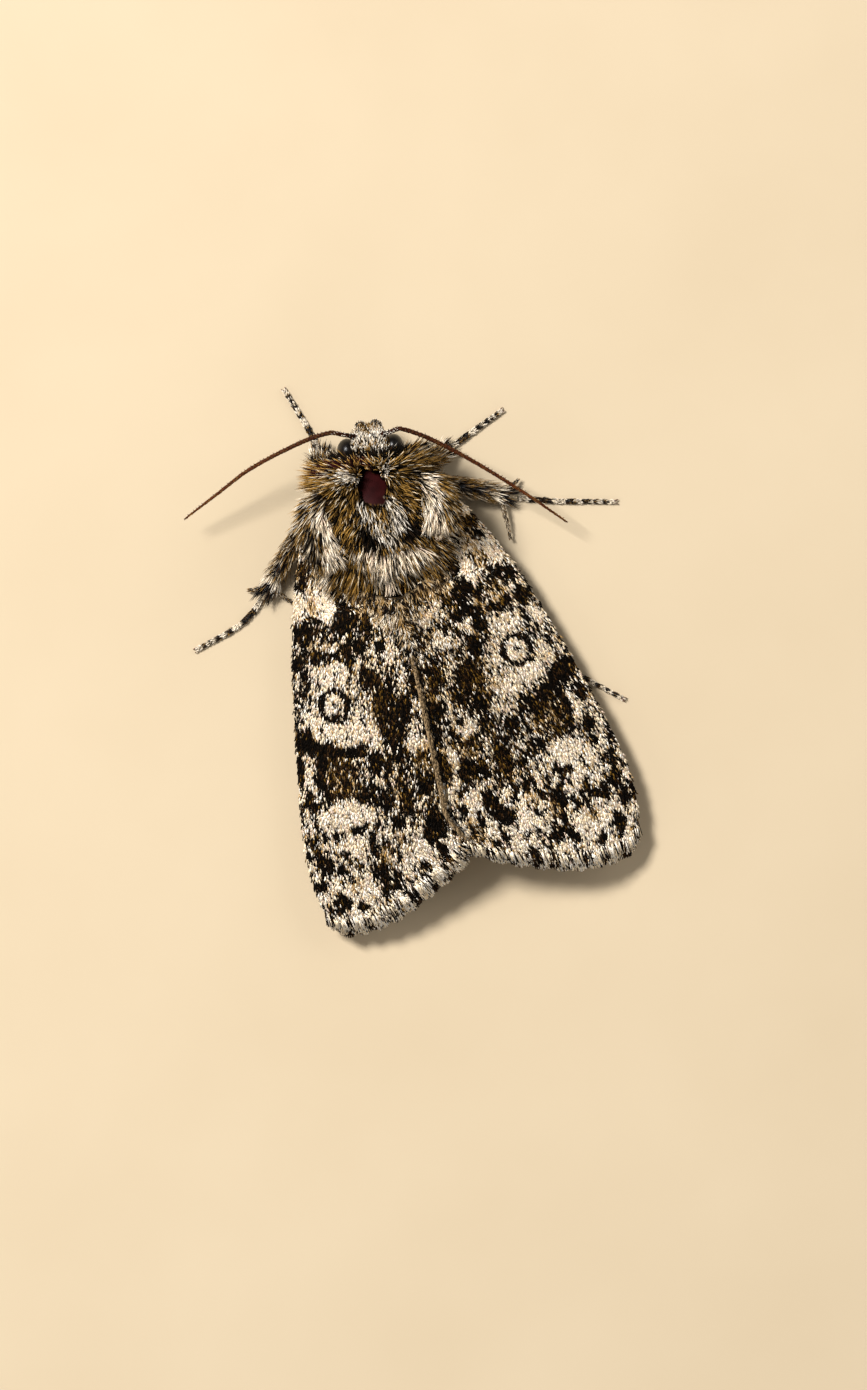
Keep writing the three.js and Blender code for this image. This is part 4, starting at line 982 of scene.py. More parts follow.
# %% Leg paths
LEGS = {
    "front_left": dict(
        coxa=(0.85, -6.6, 1), hip=(1.2, -6.9, 0.68), knee=(2.7, -7.75, 1.15), ankle=(2.28, -9.25, 0.48),
        tarsus=[(2.3, -9.5), (2.64, -10.67), (3.25, -12.38)], spurs=[]),
    "front_right": dict(
        coxa=(-0.55, -6.6, 1), hip=(-0.85, -6.95, 0.68), knee=(-2.1, -7.6, 1), ankle=(-3.38, -8.17, 0.48),
        tarsus=[(-3.6, -8.28), (-4.87, -8.84), (-6.21, -9.44)], spurs=[]),
    "middle_left": dict(
        coxa=(1.1, -5, 0.95), hip=(1.5, -5.2, 0.65), knee=(3.7, -6.15, 1.15), ankle=(6.05, -3.5, 0.52),
        tarsus=[(6.25, -3.25), (7.4, -2.4), (9.62, -1.67)],
        spurs=[(0.9, (-0.9, 0.95, -0.25)), (0.92, (0.9, -0.1, -0.25))]),
    "middle_right": dict(
        coxa=(-0.7, -5, 0.95), hip=(-1.1, -5.25, 0.65), knee=(-2.95, -6.75, 1.35), ankle=(-5.8, -5.55, 0.52),
        tarsus=[(-6.1, -5.4), (-7.76, -4.92), (-10.45, -4.31)],
        spurs=[(0.86, (-0.05, 2.05, -0.25)), (0.9, (-0.8, -0.5, -0.25))]),
    "hind_left": dict(
        coxa=(1, -3.3, 0.85), hip=(1.35, -3.2, 0.6), knee=(3, -2.4, 0.95), ankle=(4.05, 1.6, 0.52),
        tarsus=[(4.12, 1.95), (4.5, 4), (4.85, 6.1)],
        spurs=[(0.6, (0.75, 0.8, -0.3)), (0.93, (0.85, 0.6, -0.2)), (0.93, (-0.75, 0.7, -0.2))]),
    "hind_right": dict(
        coxa=(-0.75, -3.3, 0.85), hip=(-1.1, -3.2, 0.6), knee=(-3.2, -2.4, 0.95), ankle=(-5.4, 1.5, 0.52),
        tarsus=[(-5.62, 1.76), (-7.45, 3.33), (-8.95, 4.58)],
        spurs=[(0.6, (-1.05, 0.3, -0.3)), (0.93, (0.45, 0.95, -0.2)), (0.93, (-0.95, -0.2, -0.2))]),
}
TARSUS_JOINTS = (0, 0.43, 0.616, 0.756, 0.85, 0.985)
TARSUS_HEIGHT = 0.13  # of its middle line above the floor
FEMUR_RADIUS, TIBIA_RADIUS, TARSUS_RADIUS = 0.2, 0.14, 0.105
SPUR_FLOOR = 0.12  # no spur's tip comes lower


def polyline(points, t):
    """Points at shares t along a path of straight stretches, by length."""
    points = np.asarray(points, float)
    steps = np.r_[0, np.cumsum(np.linalg.norm(np.diff(points, axis=0), axis=1))]
    return np.stack([np.interp(np.asarray(t) * steps[-1], steps, points[:, k]) for k in range(3)], -1)


def smooth_path(points, count=64):
    points = np.asarray(points, float)
    steps = np.r_[0, np.cumsum(np.linalg.norm(np.diff(points, axis=0), axis=1))]
    t = np.linspace(0, steps[-1], count)
    return np.stack([through(list(zip(steps, points[:, k])))(t) for k in range(3)], -1)


def tarsus_path(leg):
    return smooth_path([(x, y, TARSUS_HEIGHT) for x, y in leg["tarsus"]])


def spur_path(leg, share, tip):
    """From a share of the tibia, a little up, and out to the tip."""
    root = lerp(np.array(leg["knee"]), leg["ankle"], share)
    end = np.maximum(root + np.array(tip), (-99, -99, SPUR_FLOOR))
    return [root, lerp(root, end, 0.5) + (0, 0, 0.04), end]


print(len(LEGS), "legs with", sum(len(leg["spurs"]) for leg in LEGS.values()), "spurs")

# %% [markdown]
# ## Roughing out
# A sculptor starts from rods and balls of clay. Cones from joint to joint, with a ball at each,
# are quick to set and need not meet neatly, because the remesh melts them into one.

# %% Rods, balls and legs
def rod(start, end, radius_start, radius_end, sides=14):
    """A cone from one drawn point to another."""
    start, end = Vector(to_frame(start)), Vector(to_frame(end))
    turn = (end - start).to_track_quat("Z", "Y").to_euler()
    bpy.ops.mesh.primitive_cone_add(
        vertices=sides, radius1=radius_start * MM, radius2=radius_end * MM, depth=(end - start).length,
        location=(start + end) / 2, rotation=turn)
    return bpy.context.object


def ball(place, radius):
    bpy.ops.mesh.primitive_uv_sphere_add(
        segments=14, ring_count=10, radius=radius * MM, location=Vector(to_frame(place)))
    return bpy.context.object


def limb(points, radii):
    """Rods through points, with a ball at each."""
    made = [rod(*points[i:i + 2], *radii[i:i + 2]) for i in range(len(points) - 1)]
    return made + [ball(point, radius) for point, radius in zip(points, radii)]


def rough_leg(leg):
    coxa, hip, knee, ankle = (np.array(leg[name]) for name in ("coxa", "hip", "knee", "ankle"))
    made = limb([coxa + (0, 0, 0.4), lerp(coxa, hip, 0.5), hip], [0.34, 0.3, 0.2])
    made += limb([hip, lerp(hip, knee, 0.35), knee], [0.17, FEMUR_RADIUS, 0.13])
    made += limb([knee, lerp(knee, ankle, 0.6), ankle], [0.12, TIBIA_RADIUS, 0.12])
    foot = tarsus_path(leg)
    made += limb([ankle, foot[0]], [0.09, 0.09])
    for start, end in zip(TARSUS_JOINTS[:-1], TARSUS_JOINTS[1:]):
        near, far = polyline(foot, start), polyline(foot, end)
        thin = TARSUS_RADIUS * lerp(1, 0.75, start)
        made += [rod(near, far, 0.72 * thin, thin), ball(far, 0.8 * thin)]
    for share, tip in leg["spurs"]:
        made += limb(spur_path(leg, share, tip), [0.08, 0.075, 0.03])
    return made


print("a leg starts from rods and balls")

# %% [markdown]
# ## The trunk, the head and the flaps
# Thorax and abdomen are one sphere, whose rings are spread from neck to tail. The head is a
# flattened ball on a short neck, turned a little aside, with two palps below, so points of the
# face are given from its middle. The tegulae are two flaps over the roots of the forewings, tied
# to the thorax by rods.

# %% Trunk, head and flaps
HEAD = np.array((-0.05, -9.0, 2.8))
HEAD_TURN = math.radians(-6)
HEAD_RADII = np.array((1.14, 0.72, 1.02))
EYE_OFFSET, EYE_RADII = (1.05, 0.1, 0.03), (0.47, 0.57, 0.67)
PALP = [(0.4, -0.4, -0.7), (0.42, -0.7, -1.2), (0.38, -0.92, -1.15), (0.34, -1, -0.7), (0.3, -0.92, -0.35)]
PALP_RADII = (0.12, 0.15, 0.16, 0.13, 0.08)
TEGULA = [(2.15, -7.15, 3.75), (2.6, -6.5, 4.1), (2.7, -5.5, 4.25), (2.48, -4.3, 4.3)]  # x from the midline


def rough_trunk():
    bpy.ops.mesh.primitive_uv_sphere_add(segments=64, ring_count=150, radius=1)
    trunk = bpy.context.object
    x, y, z = read_points(trunk).T
    along = np.arccos(np.clip(-z, -1, 1)) / math.pi
    line = lerp(BODY_START, BODY_END, along)
    close = np.sqrt(np.clip(1 - np.abs(2 * along - 1) ** 14, 0, 1))[:, None]
    axis = body_point(line, np.zeros_like(line))
    axis[:, 2] = (BACK(line) + UNDERSIDE(line)) / 2
    put_points(trunk, lerp(axis, body_point(line, np.arctan2(x, y)), close))
    return trunk


def rough_head():
    bpy.ops.mesh.primitive_uv_sphere_add(
        segments=32, ring_count=20, radius=MM, location=Vector(to_frame(HEAD)), rotation=(0, 0, HEAD_TURN),
        scale=HEAD_RADII)
    return [bpy.context.object, rod(HEAD + (0, 0.2, 0), (0.1, -7.9, 2.85), 0.8, 1.2, 32)]


def head_place(point):
    """A point given from the head's centre, in the drawing."""
    x, y, z = np.moveaxis(np.asarray(point, float), -1, 0)
    c, s = math.cos(HEAD_TURN), math.sin(HEAD_TURN)
    return HEAD + np.stack([c * x - s * y, s * x + c * y, z], -1)


def eye_middle(side):
    return head_place(np.array(EYE_OFFSET) * (side, 1, 1))


def palp_path(side):
    return [head_place((side * x, y, z)) for x, y, z in PALP]


def tegula_path(side):
    """The flap that covers a wing's root, from its front to its rear."""
    return [(MIDLINE(y) + side * x, y, z) for x, y, z in TEGULA]


bpy.ops.object.select_all(action="DESELECT")
parts = [rough_trunk(), *rough_head()]
for side in (-1, 1):
    parts += limb(palp_path(side), PALP_RADII)
    flap = tegula_path(side)
    parts += limb(flap, [0.28, 0.42, 0.4, 0.2])
    for x, y, z in flap[1:3]:
        parts.append(rod(lerp(np.array((x, y, z)), (MIDLINE(y), y, 2.8), 0.5), (x, y, z), 0.7, 0.35))
for leg in LEGS.values():
    parts += rough_leg(leg)
print(len(parts), "rough forms")

# %% [markdown]
# ## One skin
# The rough forms are joined and remeshed with voxels fine enough for a spur, smoothed, and halved
# in their faces, since a coat will cover them. A boolean union would keep every form's edges.

# %% Skin
SKIN_VOXEL = 0.048
FLESH_WORDS = ("collar", "thorax", "abdomen", "anal", "head", "palp", "tegula", "leg")
FLESH = [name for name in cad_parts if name.split("_")[0] in FLESH_WORDS]

bpy.ops.object.select_all(action="DESELECT")
for part in parts:
    part.select_set(True)
bpy.context.view_layer.objects.active = parts[0]
bpy.ops.object.join()
bpy.ops.object.transform_apply(location=True, rotation=True, scale=True)
skin = bpy.context.object
skin.name = skin.data.name = "body_skin"
apply_modifier(
    skin, "one surface", "REMESH", mode="VOXEL", voxel_size=SKIN_VOXEL * MM, use_smooth_shade=True)
apply_modifier(skin, "soften", "SMOOTH", factor=0.5, iterations=3)
apply_modifier(skin, "fewer faces", "DECIMATE", ratio=0.5)
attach(skin, "root")
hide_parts(*FLESH)
print("skin:", len(skin.data.polygons), "faces, for", len(FLESH), "nodes")

# %% [markdown]
# ## Colours of the body
# The thorax is patterned too: a grey-white brow, a black band behind the head, an ochre collar, a
# bare maroon patch where the scales are rubbed off, pale flaps over the wing roots, and a white
# tuft at the rear. Each region has a mix of hairs, of which a hair draws one.

# %% Mixes and regions
# A mix is a list of hairs: the colour at a hair's middle, the colour at its tip, and its share.
MIXES = {
    "base": ((INK, OCHRE, 0.27), (UMBER, CREAM, 0.13), (GOLD * 0.7, OCHRE, 0.17), (GOLD, CREAM, 0.06),
             (INK, INK, 0.37)),
    "brow": ((ASH, WHITE, 0.36), (WHITE, WHITE, 0.12), (INK, INK, 0.37), (INK, CREAM, 0.15)),
    "black": ((INK, INK, 0.85), (INK, UMBER, 0.15)),
    "ochre": ((GOLD, OCHRE, 0.44), (OCHRE, CREAM, 0.1), (UMBER, GOLD, 0.22), (INK, INK, 0.24)),
    "collar": ((GOLD, OCHRE, 0.26), (INK, OCHRE, 0.26), (UMBER, CREAM, 0.16), (INK, INK, 0.32)),
    "purple": ((MAROON, MAROON * 2, 0.5), (UMBER, OCHRE, 0.25), (INK, MAROON, 0.25)),
    "shoulder": ((UMBER, CREAM, 0.26), (INK, WHITE, 0.14), (UMBER, OCHRE, 0.24), (INK, INK, 0.36)),
    "umber": ((UMBER, GOLD, 0.24), (INK, CREAM, 0.08), (UMBER, OCHRE, 0.24), (INK, INK, 0.44)),
    "white": ((ROSE, CREAM, 0.25), (CREAM, WHITE, 0.35), (GOLD, CREAM, 0.12), (INK, CREAM, 0.16),
              (INK, INK, 0.12)),
    "vee": ((ASH, WHITE, 0.44), (WHITE, WHITE, 0.12), (INK, INK, 0.26), (INK, CREAM, 0.18)),
    "belly": ((ASH, WHITE, 0.4), (CREAM, WHITE, 0.3), (UMBER, CREAM, 0.2), (INK, ASH, 0.1)),
    "wing root": ((INK, INK, 0.4), (INK, ASH, 0.25), (UMBER, GOLD, 0.2), (ASH, CREAM, 0.15)),
}
# Each region: its mix, its path of (x, y) points seen from above, and its half width.
REGIONS = [
    ("umber", [(-3.4, -7), (-1.6, -7.6), (-1.3, -6.9)], 0.6),
    ("umber", [(1.2, -6.8), (1.5, -5.6)], 0.55),
    ("umber", [(-0.9, -7), (-1.2, -5.6)], 0.5),
    ("shoulder", [(2.2, -7.4), (3.5, -7), (3.6, -6.3)], 0.7),
    ("brow", [(0.75, -9.4), (-0.15, -9.55), (-0.65, -9.2)], 0.42),
    ("umber", [(-0.3, -10), (0.05, -10)], 0.25),
    ("black", [(1.9, -8.55), (1.2, -8.5), (0.1, -8.45), (-1.1, -8.35), (-1.8, -8.25)], 0.3),
    ("collar", [(2.1, -8.1), (1, -8.05), (-0.4, -8), (-1.9, -7.9)], 0.2),
    ("purple", [(1.9, -7.95), (0.9, -8), (0.3, -7.9)], 0.13),
    ("ochre", [(2.4, -7.6), (2, -7.1)], 0.3),
    ("white", [(2.75, -5.9), (2.65, -5.3), (2.6, -4.4), (2.7, -3.9)], 0.36),
    ("white", [(-2.55, -6.7), (-2.35, -6), (-2.15, -5), (-2.2, -4.4)], 0.3),
    ("ochre", [(1.5, -6), (1.8, -4.9), (1.95, -3.6)], 0.28),
    ("ochre", [(-1.1, -6.6), (-1.35, -5.1), (-1.7, -4.2)], 0.2),
    ("vee", [(1.15, -7.55), (0.85, -7.6)], 0.2),
    ("vee", [(-0.35, -7.7), (-0.35, -7.3)], 0.12),
    ("vee", [(0.95, -6.3), (0.5, -5.3), (0.15, -4.4)], 0.15),
    ("vee", [(-0.25, -6.2), (-0.55, -5.6), (-0.4, -5.1), (-0.05, -4.5)], 0.27),
    ("black", [(1, -4.95), (0.5, -4.6)], 0.26),
    ("black", [(-0.9, -5), (-0.8, -4.5)], 0.28),
    ("white", [(1.25, -4.1), (0.8, -3.8), (0.2, -3.6), (-0.5, -3.6), (-1.1, -3.7)], 0.28),
    ("white", [(0.5, -3.4), (0.4, -2.9)], 0.32),
    ("ochre", [(1.7, -3.2), (1.2, -2.5)], 0.25),
    ("wing root", [(3.4, -5.4), (3.5, -4.4)], 0.35),
]
BALD = (0.28, -7.04, 0.64, 0.82)  # the rubbed patch: x, y and two half widths
MIX_NAMES = list(MIXES)
print(len(MIXES), "mixes in", len(REGIONS), "regions")

# %% [markdown]
# ## A hair's colours
# A hair asks which region its tip lies over and draws one hair of that region's mix. Borders are
# shaken by noise, and single hairs stray over them, as in fur. Vertex painting couldn't serve
# skin and hairs alike.

# %% Colours of the coat
def path_distance(x, y, path):
    best = np.full(np.shape(x), 99.0)
    for (x0, y0), (x1, y1) in zip(path[:-1], path[1:]):
        dx, dy = x1 - x0, y1 - y0
        t = np.clip(((x - x0) * dx + (y - y0) * dy) / (dx * dx + dy * dy), 0, 1)
        best = np.minimum(best, np.hypot(x - x0 - t * dx, y - y0 - t * dy))
    return best


def bald(x, y, grow=0.0):
    """Whether a place is in the rubbed patch, whose edge is ragged."""
    out = np.hypot((x - BALD[0]) / (BALD[2] + grow), (y - BALD[1]) / (BALD[3] + grow))
    return out < 0.62 + 0.76 * noise(x * 5, y * 5, 77)


def pick_hairs(mixes, mix, draw):
    """Middle and tip colours, six numbers each, drawn from the mix that each hair belongs to."""
    colours = np.zeros((len(mix), 6))
    for index, hairs in enumerate(mixes.values()):
        shades = np.array([[*middle, *tip] for middle, tip, _ in hairs])
        edges = np.cumsum([share for _, _, share in hairs])
        pick = np.clip(np.searchsorted(edges, draw, side="right"), 0, len(edges) - 1)
        colours = np.where((mix == index)[:, None], shades[pick], colours)
    return colours


def coat_colours(points, draw):
    """The middle and tip colours, six numbers, of a hair at each drawn point of the body."""
    x, y, z = points.T
    mix = np.zeros(len(x), int)
    stray = 0.24 * (np.stack([draw * 7919 % 1, draw * 104729 % 1]) - 0.5)
    ragged_x = x + 0.35 * (noise(x * 2.2, y * 2.2, 70) - 0.5) + stray[0]
    ragged_y = y + 0.35 * (noise(x * 2.2 + 9, y * 2.2, 70) - 0.5) + 1.6 * stray[1]
    for name, path, width in REGIONS:
        away = path_distance(ragged_x, ragged_y, path)
        edge = width * lerp(0.7, 1.35, noise(x * 4, y * 4, 71))
        mix = np.where(away < edge, MIX_NAMES.index(name), mix)
    low = z < lerp(2.5, 2.0, smoothstep(y, -9, -3)) + 0.5 * (noise(x * 2, y * 2, 72) - 0.5)
    mix = np.where(low | (y > -2.2) & (z < 3), MIX_NAMES.index("belly"), mix)
    return pick_hairs(MIXES, mix, draw)


print("a hair of the collar:", coat_colours(np.array([[1.5, -8.1, 4.0]]), np.array([0.4])).round(2))

# %% [markdown]
# ## The skin's finish
# Bare cuticle is a dark maroon brown with hardly any gloss. Where scales grow, the skin wears the
# coat's colours in a darker key. Its pores and wrinkles are bump, because they are far finer than
# its faces.

# %% Skin material
HIDE, tree = new_material("moth cuticle under scales")
colour = node(tree, "ShaderNodeAttribute", {"attribute_name": "Scale colour"})
place = node(tree, "ShaderNodeTexCoord")
# Pores and wrinkles of cuticle, about a twentieth of a millimetre apart.
pores = node(tree, "ShaderNodeTexVoronoi", Vector=place.outputs["Object"], Scale=20000.0)
wrinkle = node(tree, "ShaderNodeTexNoise", Vector=place.outputs["Object"], Scale=5000.0, Detail=4.0)
relief = node(tree, "ShaderNodeMath", {"operation": "MULTIPLY"})
tree.links.new(pores.outputs["Distance"], relief.inputs[0])
tree.links.new(wrinkle.outputs["Fac"], relief.inputs[1])
bump = node(tree, "ShaderNodeBump", Height=relief.outputs["Value"], Strength=0.3, Distance=0.00002)
shader = node(
    tree, "ShaderNodeBsdfPrincipled", Base_Color=colour.outputs["Color"], Roughness=0.5,
    Normal=bump.outputs["Normal"], Specular_IOR_Level=0.03)
node(tree, "ShaderNodeOutputMaterial", Surface=shader.outputs["BSDF"])
print("material:", HIDE.name)

# %% [markdown]
# ## The legs' bands
# The tarsi are ringed black and white, each joint pale at its root, and the tibiae end in a pale
# and a black ring. Rings are found by how far along the leg a place lies, so that skin and hairs
# agree, which a texture on one of them wouldn't.

# %% Bands of the legs
# Where pale and dark change along a tarsus, and where brown, pale and black change along a tibia.
TARSUS_BANDS = (0.12, 0.365, 0.497, 0.588, 0.66, 0.74, 0.78, 0.82, 0.86, 0.92)
TIBIA_BANDS = (0.7, 0.82)
LEG_MIXES = {
    "brown": ((INK, GOLD, 0.35), (UMBER, OCHRE, 0.3), (UMBER, CREAM, 0.2), (INK, INK, 0.15)),
    "pale": ((CREAM, WHITE, 0.6), (ASH, WHITE, 0.28), (INK, CREAM, 0.12)),
    "dark": ((INK, INK, 0.66), (UMBER, UMBER, 0.22), (UMBER, OCHRE, 0.12)),
}


def leg_band(leg, points):
    """For each point: how far it lies from the leg, and its place along it as leg_colours reads it."""
    path = np.array([leg["hip"], leg["knee"], leg["ankle"]])
    foot = tarsus_path(leg)
    best = np.full(len(points), 99.0)
    along = np.zeros(len(points))
    for offset, stretch in ((0, path[0:2]), (1, path[1:3]), (2, foot)):
        t = np.linspace(0, 1, 60)
        line = polyline(stretch, t)
        gaps = np.linalg.norm(points[:, None, :] - line[None], axis=2)
        near = gaps.argmin(1)
        distance = gaps.min(1)
        closer = distance < best
        best = np.where(closer, distance, best)
        along = np.where(closer, offset + t[near], along)
    return best, along


def leg_colours(along, draw):
    """Middle and tip colours by place: from 0 on the femur, from 1 on the tibia, from 2 on the tarsus."""
    ring = np.searchsorted(TARSUS_BANDS, np.clip(along - 2, 0, 1) + 0.012 * (draw - 0.5))
    zone = np.searchsorted(TIBIA_BANDS, np.clip(along - 1, 0, 1) + 0.08 * (draw - 0.5))
    mix = np.where(along >= 2, 1 + ring % 2, np.where(along >= 1, zone, 0))
    return pick_hairs(LEG_MIXES, mix, draw)


print(len(TARSUS_BANDS) + 1, "bands on each tarsus")

# %% [markdown]
# ## Colouring the skin
# Every point of the skin asks for the coat's colour first, then for a leg's where it lies close
# to one, and the bare maroon last. It is painted darker than the hairs, because little light gets
# down between them.

# %% Painted skin
LEG_REACH = 0.34  # a point this near a leg's middle line is the leg's
at = read_points(skin) / MM + np.array([CENTRE[0], CENTRE[1], 0])
draw = rng.random(len(at))
shades = coat_colours(at, draw)[:, :3] * 0.6
for leg in LEGS.values():
    low = np.array(at[:, 2] < 1.9)
    distance, along = leg_band(leg, at[low])
    mine = np.flatnonzero(low)[distance < LEG_REACH]
    shades[mine] = leg_colours(along[distance < LEG_REACH], draw[mine])[:, :3] * 0.7
rubbed = bald(at[:, 0], at[:, 1]) & (at[:, 2] > 3)
shades[rubbed] = MAROON * lerp(0.6, 1.4, noise(at[rubbed, 0] * 4, at[rubbed, 1] * 4, 12))[:, None]
paint(skin, shades)
skin.data.materials.clear()
skin.data.materials.append(HIDE)
print("skin coloured, bare patch of", int(rubbed.sum()), "points")

# %% [markdown]
# ## One hair-scale
# What looks like fur is long, narrow scales. Blender's hair would be quicker to comb, but doesn't
# export as a mesh. Each one is a closed, three-sided blade that leaves the skin upright, bends
# over along the lie and ends in a point. Its mix gives a middle and a tip colour, and painted shade
# and light go over them: near black at the root and dimmed along the middle, where hairs shade one
# another, and a little brighter at the tip. It is two or three times as wide as a real one, since
# there are fewer of them.

# %% The blade
BLADE_STEPS = np.array([0.0, 0.38, 0.74, 1.0])
BLADE_WIDTHS = np.array([0.6, 1.0, 0.72, 0.0])
BLADE_FACES = [(0, 2, 1)]
for ring in (0, 3):
    for k in range(3):
        near, far = ring + k, ring + (k + 1) % 3
        BLADE_FACES += [(near, far, near + 3), (far, far + 3, near + 3)]
BLADE_FACES += [(6 + k, 6 + (k + 1) % 3, 9) for k in range(3)]
CORNERS = np.array([(-0.5, 0.0), (0.5, 0.0), (0.0, 0.45)])  # across and up, in widths
BLADE_UV = np.array(
    [(0.5 + 0.45 * CORNERS[k][0], 0.1 + 0.25 * ring) for ring in range(3) for k in range(3)] + [(0.5, 1.0)])
# Painted shade and light: the root is near black and the middle dimmed to about half, where hairs shade one
# another, and the tip is a tenth brighter than its colour.
BLADE_MIDDLES = np.array([0.05] * 3 + [0.52] * 3 + [0.45] * 3 + [0.0])  # the middle colour's share
BLADE_TIPS = np.array([0.0] * 3 + [0.0] * 3 + [0.55] * 3 + [1.1])
FLOOR_GAP = 0.015  # no hair comes nearer the floor than this


def lay_blades(name, roots, normals, lies, lengths, widths, lifts, colours, unwrap, material,
               curls=None, drop=None):
    """Joined blades. lifts: how far each stands off the skin, in its own length. colours: middle and
    tip, six numbers. drop: a test of paths that have to stay clear."""
    normals, lies = unit(normals), unit(lies)
    sideways = unit(np.cross(lies, normals))
    s = BLADE_STEPS[None, :, None]
    reach, height = lengths[:, None, None], (lengths * lifts)[:, None, None]
    curl = (np.zeros(len(roots)) if curls is None else curls)[:, None, None]
    spine = (
        roots[:, None, :] + lies[:, None, :] * reach * (0.25 * s + 0.75 * s**1.4) + normals[:, None, :]
        * (height * (1.7 * s - 0.7 * s * s) - 0.04 * (s < 0.01)) + sideways[:, None, :] * reach * curl * s
        * s)
    keep = np.ones(len(roots), bool) if drop is None else ~drop(spine)
    spine, colours, unwrap, widths = spine[keep], colours[keep], unwrap[keep], widths[keep]
    tangent = unit(np.gradient(spine, axis=1))
    across = unit(np.cross(tangent, normals[keep][:, None, :] + 1e-6))
    top = np.cross(across, tangent)
    rings = []
    for step in range(3):
        width = (widths * BLADE_WIDTHS[step])[:, None]
        for aside, above in CORNERS:
            rings.append(spine[:, step] + across[:, step] * width * aside + top[:, step] * width * above)
    rings.append(spine[:, 3])
    points = np.stack(rings, 1)
    points[..., 2] = np.maximum(points[..., 2], FLOOR_GAP)
    count = len(points)
    faces = (np.arange(count)[:, None, None] * 10 + np.array(BLADE_FACES)[None]).reshape(-1, 3)
    tints = (colours[:, None, :3] * BLADE_MIDDLES[None, :, None]
             + colours[:, None, 3:] * BLADE_TIPS[None, :, None]).reshape(-1, 3)
    mesh_piece(name, points.reshape(-1, 3), faces, material, tints, patch_map(unwrap, BLADE_UV))


HAIR = scale_material("hair-scales of a moth's coat", 0.6, 0.0)
print("a hair:", len(BLADE_MIDDLES), "points,", len(BLADE_FACES), "triangles")

# %% [markdown]
# ## Sowing the trunk
# Roots are spread over the body by its length and its turn, and the same two numbers are their
# place on the map. Hairs that would cross the rubbed patch or an eye are left out.

# %% Roots on the trunk
def sow_trunk(count, y_range, turn_range):
    """Random places on the trunk, as y and turn in radians."""
    y = rng.uniform(*y_range, count)
    spread = rng.uniform(-1, 1, count)
    turn = np.radians(np.sign(spread) * lerp(turn_range[0], turn_range[1], np.abs(spread)))
    return y, turn


def trunk_map(y, turn):
    return np.stack([0.02 + 0.95 * (turn / (2 * math.pi) + 0.5), 0.02 + 0.95 * (y + 9) / 18], -1)


def crosses_bald(spine):
    inner = bald(spine[..., 0], spine[..., 1], -0.06) & (spine[..., 2] > 3.4)
    return inner.any(1)


def crosses_eye(spine):
    inner = np.zeros(spine.shape[:2], bool)
    for side in (-1, 1):
        inner |= np.linalg.norm((spine - eye_middle(side)) / EYE_RADII, axis=-1) < 1.02
    return inner[:, 1:].any(1)


def crosses_bare_place(spine):
    return crosses_bald(spine) | crosses_eye(spine)


def blend_lie(rearward, normal, outward_share, back_share, up_share):
    """A direction mixed from the side, the rear and the normal."""
    sideways = np.zeros_like(rearward)
    sideways[:, 0] = 1
    return unit(
        rearward * back_share[:, None] + sideways * outward_share[:, None] + normal * up_share[:, None])


print("roots can be sown from y =", BODY_START, "to", BODY_END)

# %% [markdown]
# ## The coat of the trunk
# Hairs of the thorax lie backwards and outwards, in tufts that lean together. Those of the collar
# stand up and lean over the head, the rear tuft fans out over the wing roots, and the belly's lie
# flat. One function lays them all, and each line at the end is a comb's setting.

# %% Hairs of the trunk
def trunk_hairs(name, count, y_range, turns, length, width, lift, splay, back=(1.0, 1.0), up=0.0,
                side_length=1.0):
    """back: the share of the rearward lie at the front and the rear of y_range."""
    y, turn = sow_trunk(count, y_range, turns)
    roots, normals, rearward = body_frame(y, turn)
    tufts = noise(y * 3.2, turn * 5, 33) - 0.5  # neighbours lean together, in tufts
    outward = splay * np.sin(turn) + 0.9 * tufts + rng.normal(0, 0.2, count)
    lean = np.interp(y, y_range, back)
    lies = blend_lie(rearward, normals, outward, lean, up + rng.normal(0, 0.12, count))
    lengths = rng.uniform(*length, count) * lerp(1.0, side_length, np.sin(turn) ** 2)
    tips = roots + lies * lengths[:, None] * 0.7
    colours = coat_colours(tips, rng.random(count)) * rng.uniform(0.6, 1.25, (count, 1))
    lay_blades(
        name, roots, normals, lies, lengths, rng.uniform(*width, count), rng.uniform(*lift, count),
        colours, trunk_map(y, turn), HAIR, rng.normal(0, 0.12, count), crosses_bare_place)


trunk_hairs(
    "thorax_coat", 9000, (-7.6, -3.9), (0, 100), (0.42, 0.85), (0.045, 0.08), (0.4, 0.95),
    0.55, side_length=1.3)
trunk_hairs(
    "rear_tuft", 3600, (-4.5, -3.0), (0, 75), (0.7, 1.4), (0.045, 0.08), (0.35, 0.7), 0.75)
trunk_hairs(
    "collar_coat", 5600, (-7.95, -7.35), (0, 105), (0.4, 0.65), (0.04, 0.07), (0.9, 1.4), 0.8,
    back=(-0.3, 0.5), up=0.2, side_length=1.45)
trunk_hairs(
    "neck_coat", 1900, (-8.5, -7.95), (0, 110), (0.35, 0.55), (0.04, 0.06), (0.5, 0.9), 0.6,
    back=(-0.8, -0.4), side_length=1.4)
trunk_hairs(
    "chest_coat", 2800, (-8.2, -2.9), (95, 180), (0.4, 0.65), (0.06, 0.1), (0.3, 0.6), 0.35)
trunk_hairs(
    "belly_coat", 4500, (-2.9, 8.0), (0, 180), (0.36, 0.58), (0.1, 0.15), (0.12, 0.24), 0.15)
trunk_hairs(
    "tail_coat", 1100, (7.4, 8.05), (0, 180), (0.5, 0.85), (0.05, 0.08), (0.05, 0.3), 0.0)

# %% [markdown]
# ## The coat of the head
# The face wears a short brush that leans forward between the feelers. It stands on the head's
# ball, whose directions give each root and its normal. The eyes stay bare, apart from a few hairs
# that lean over them from behind.

# %% Hairs of the head
BROW_HEIGHT = 2.5  # above this a hair takes the coat's regions, below it the face's grey mix


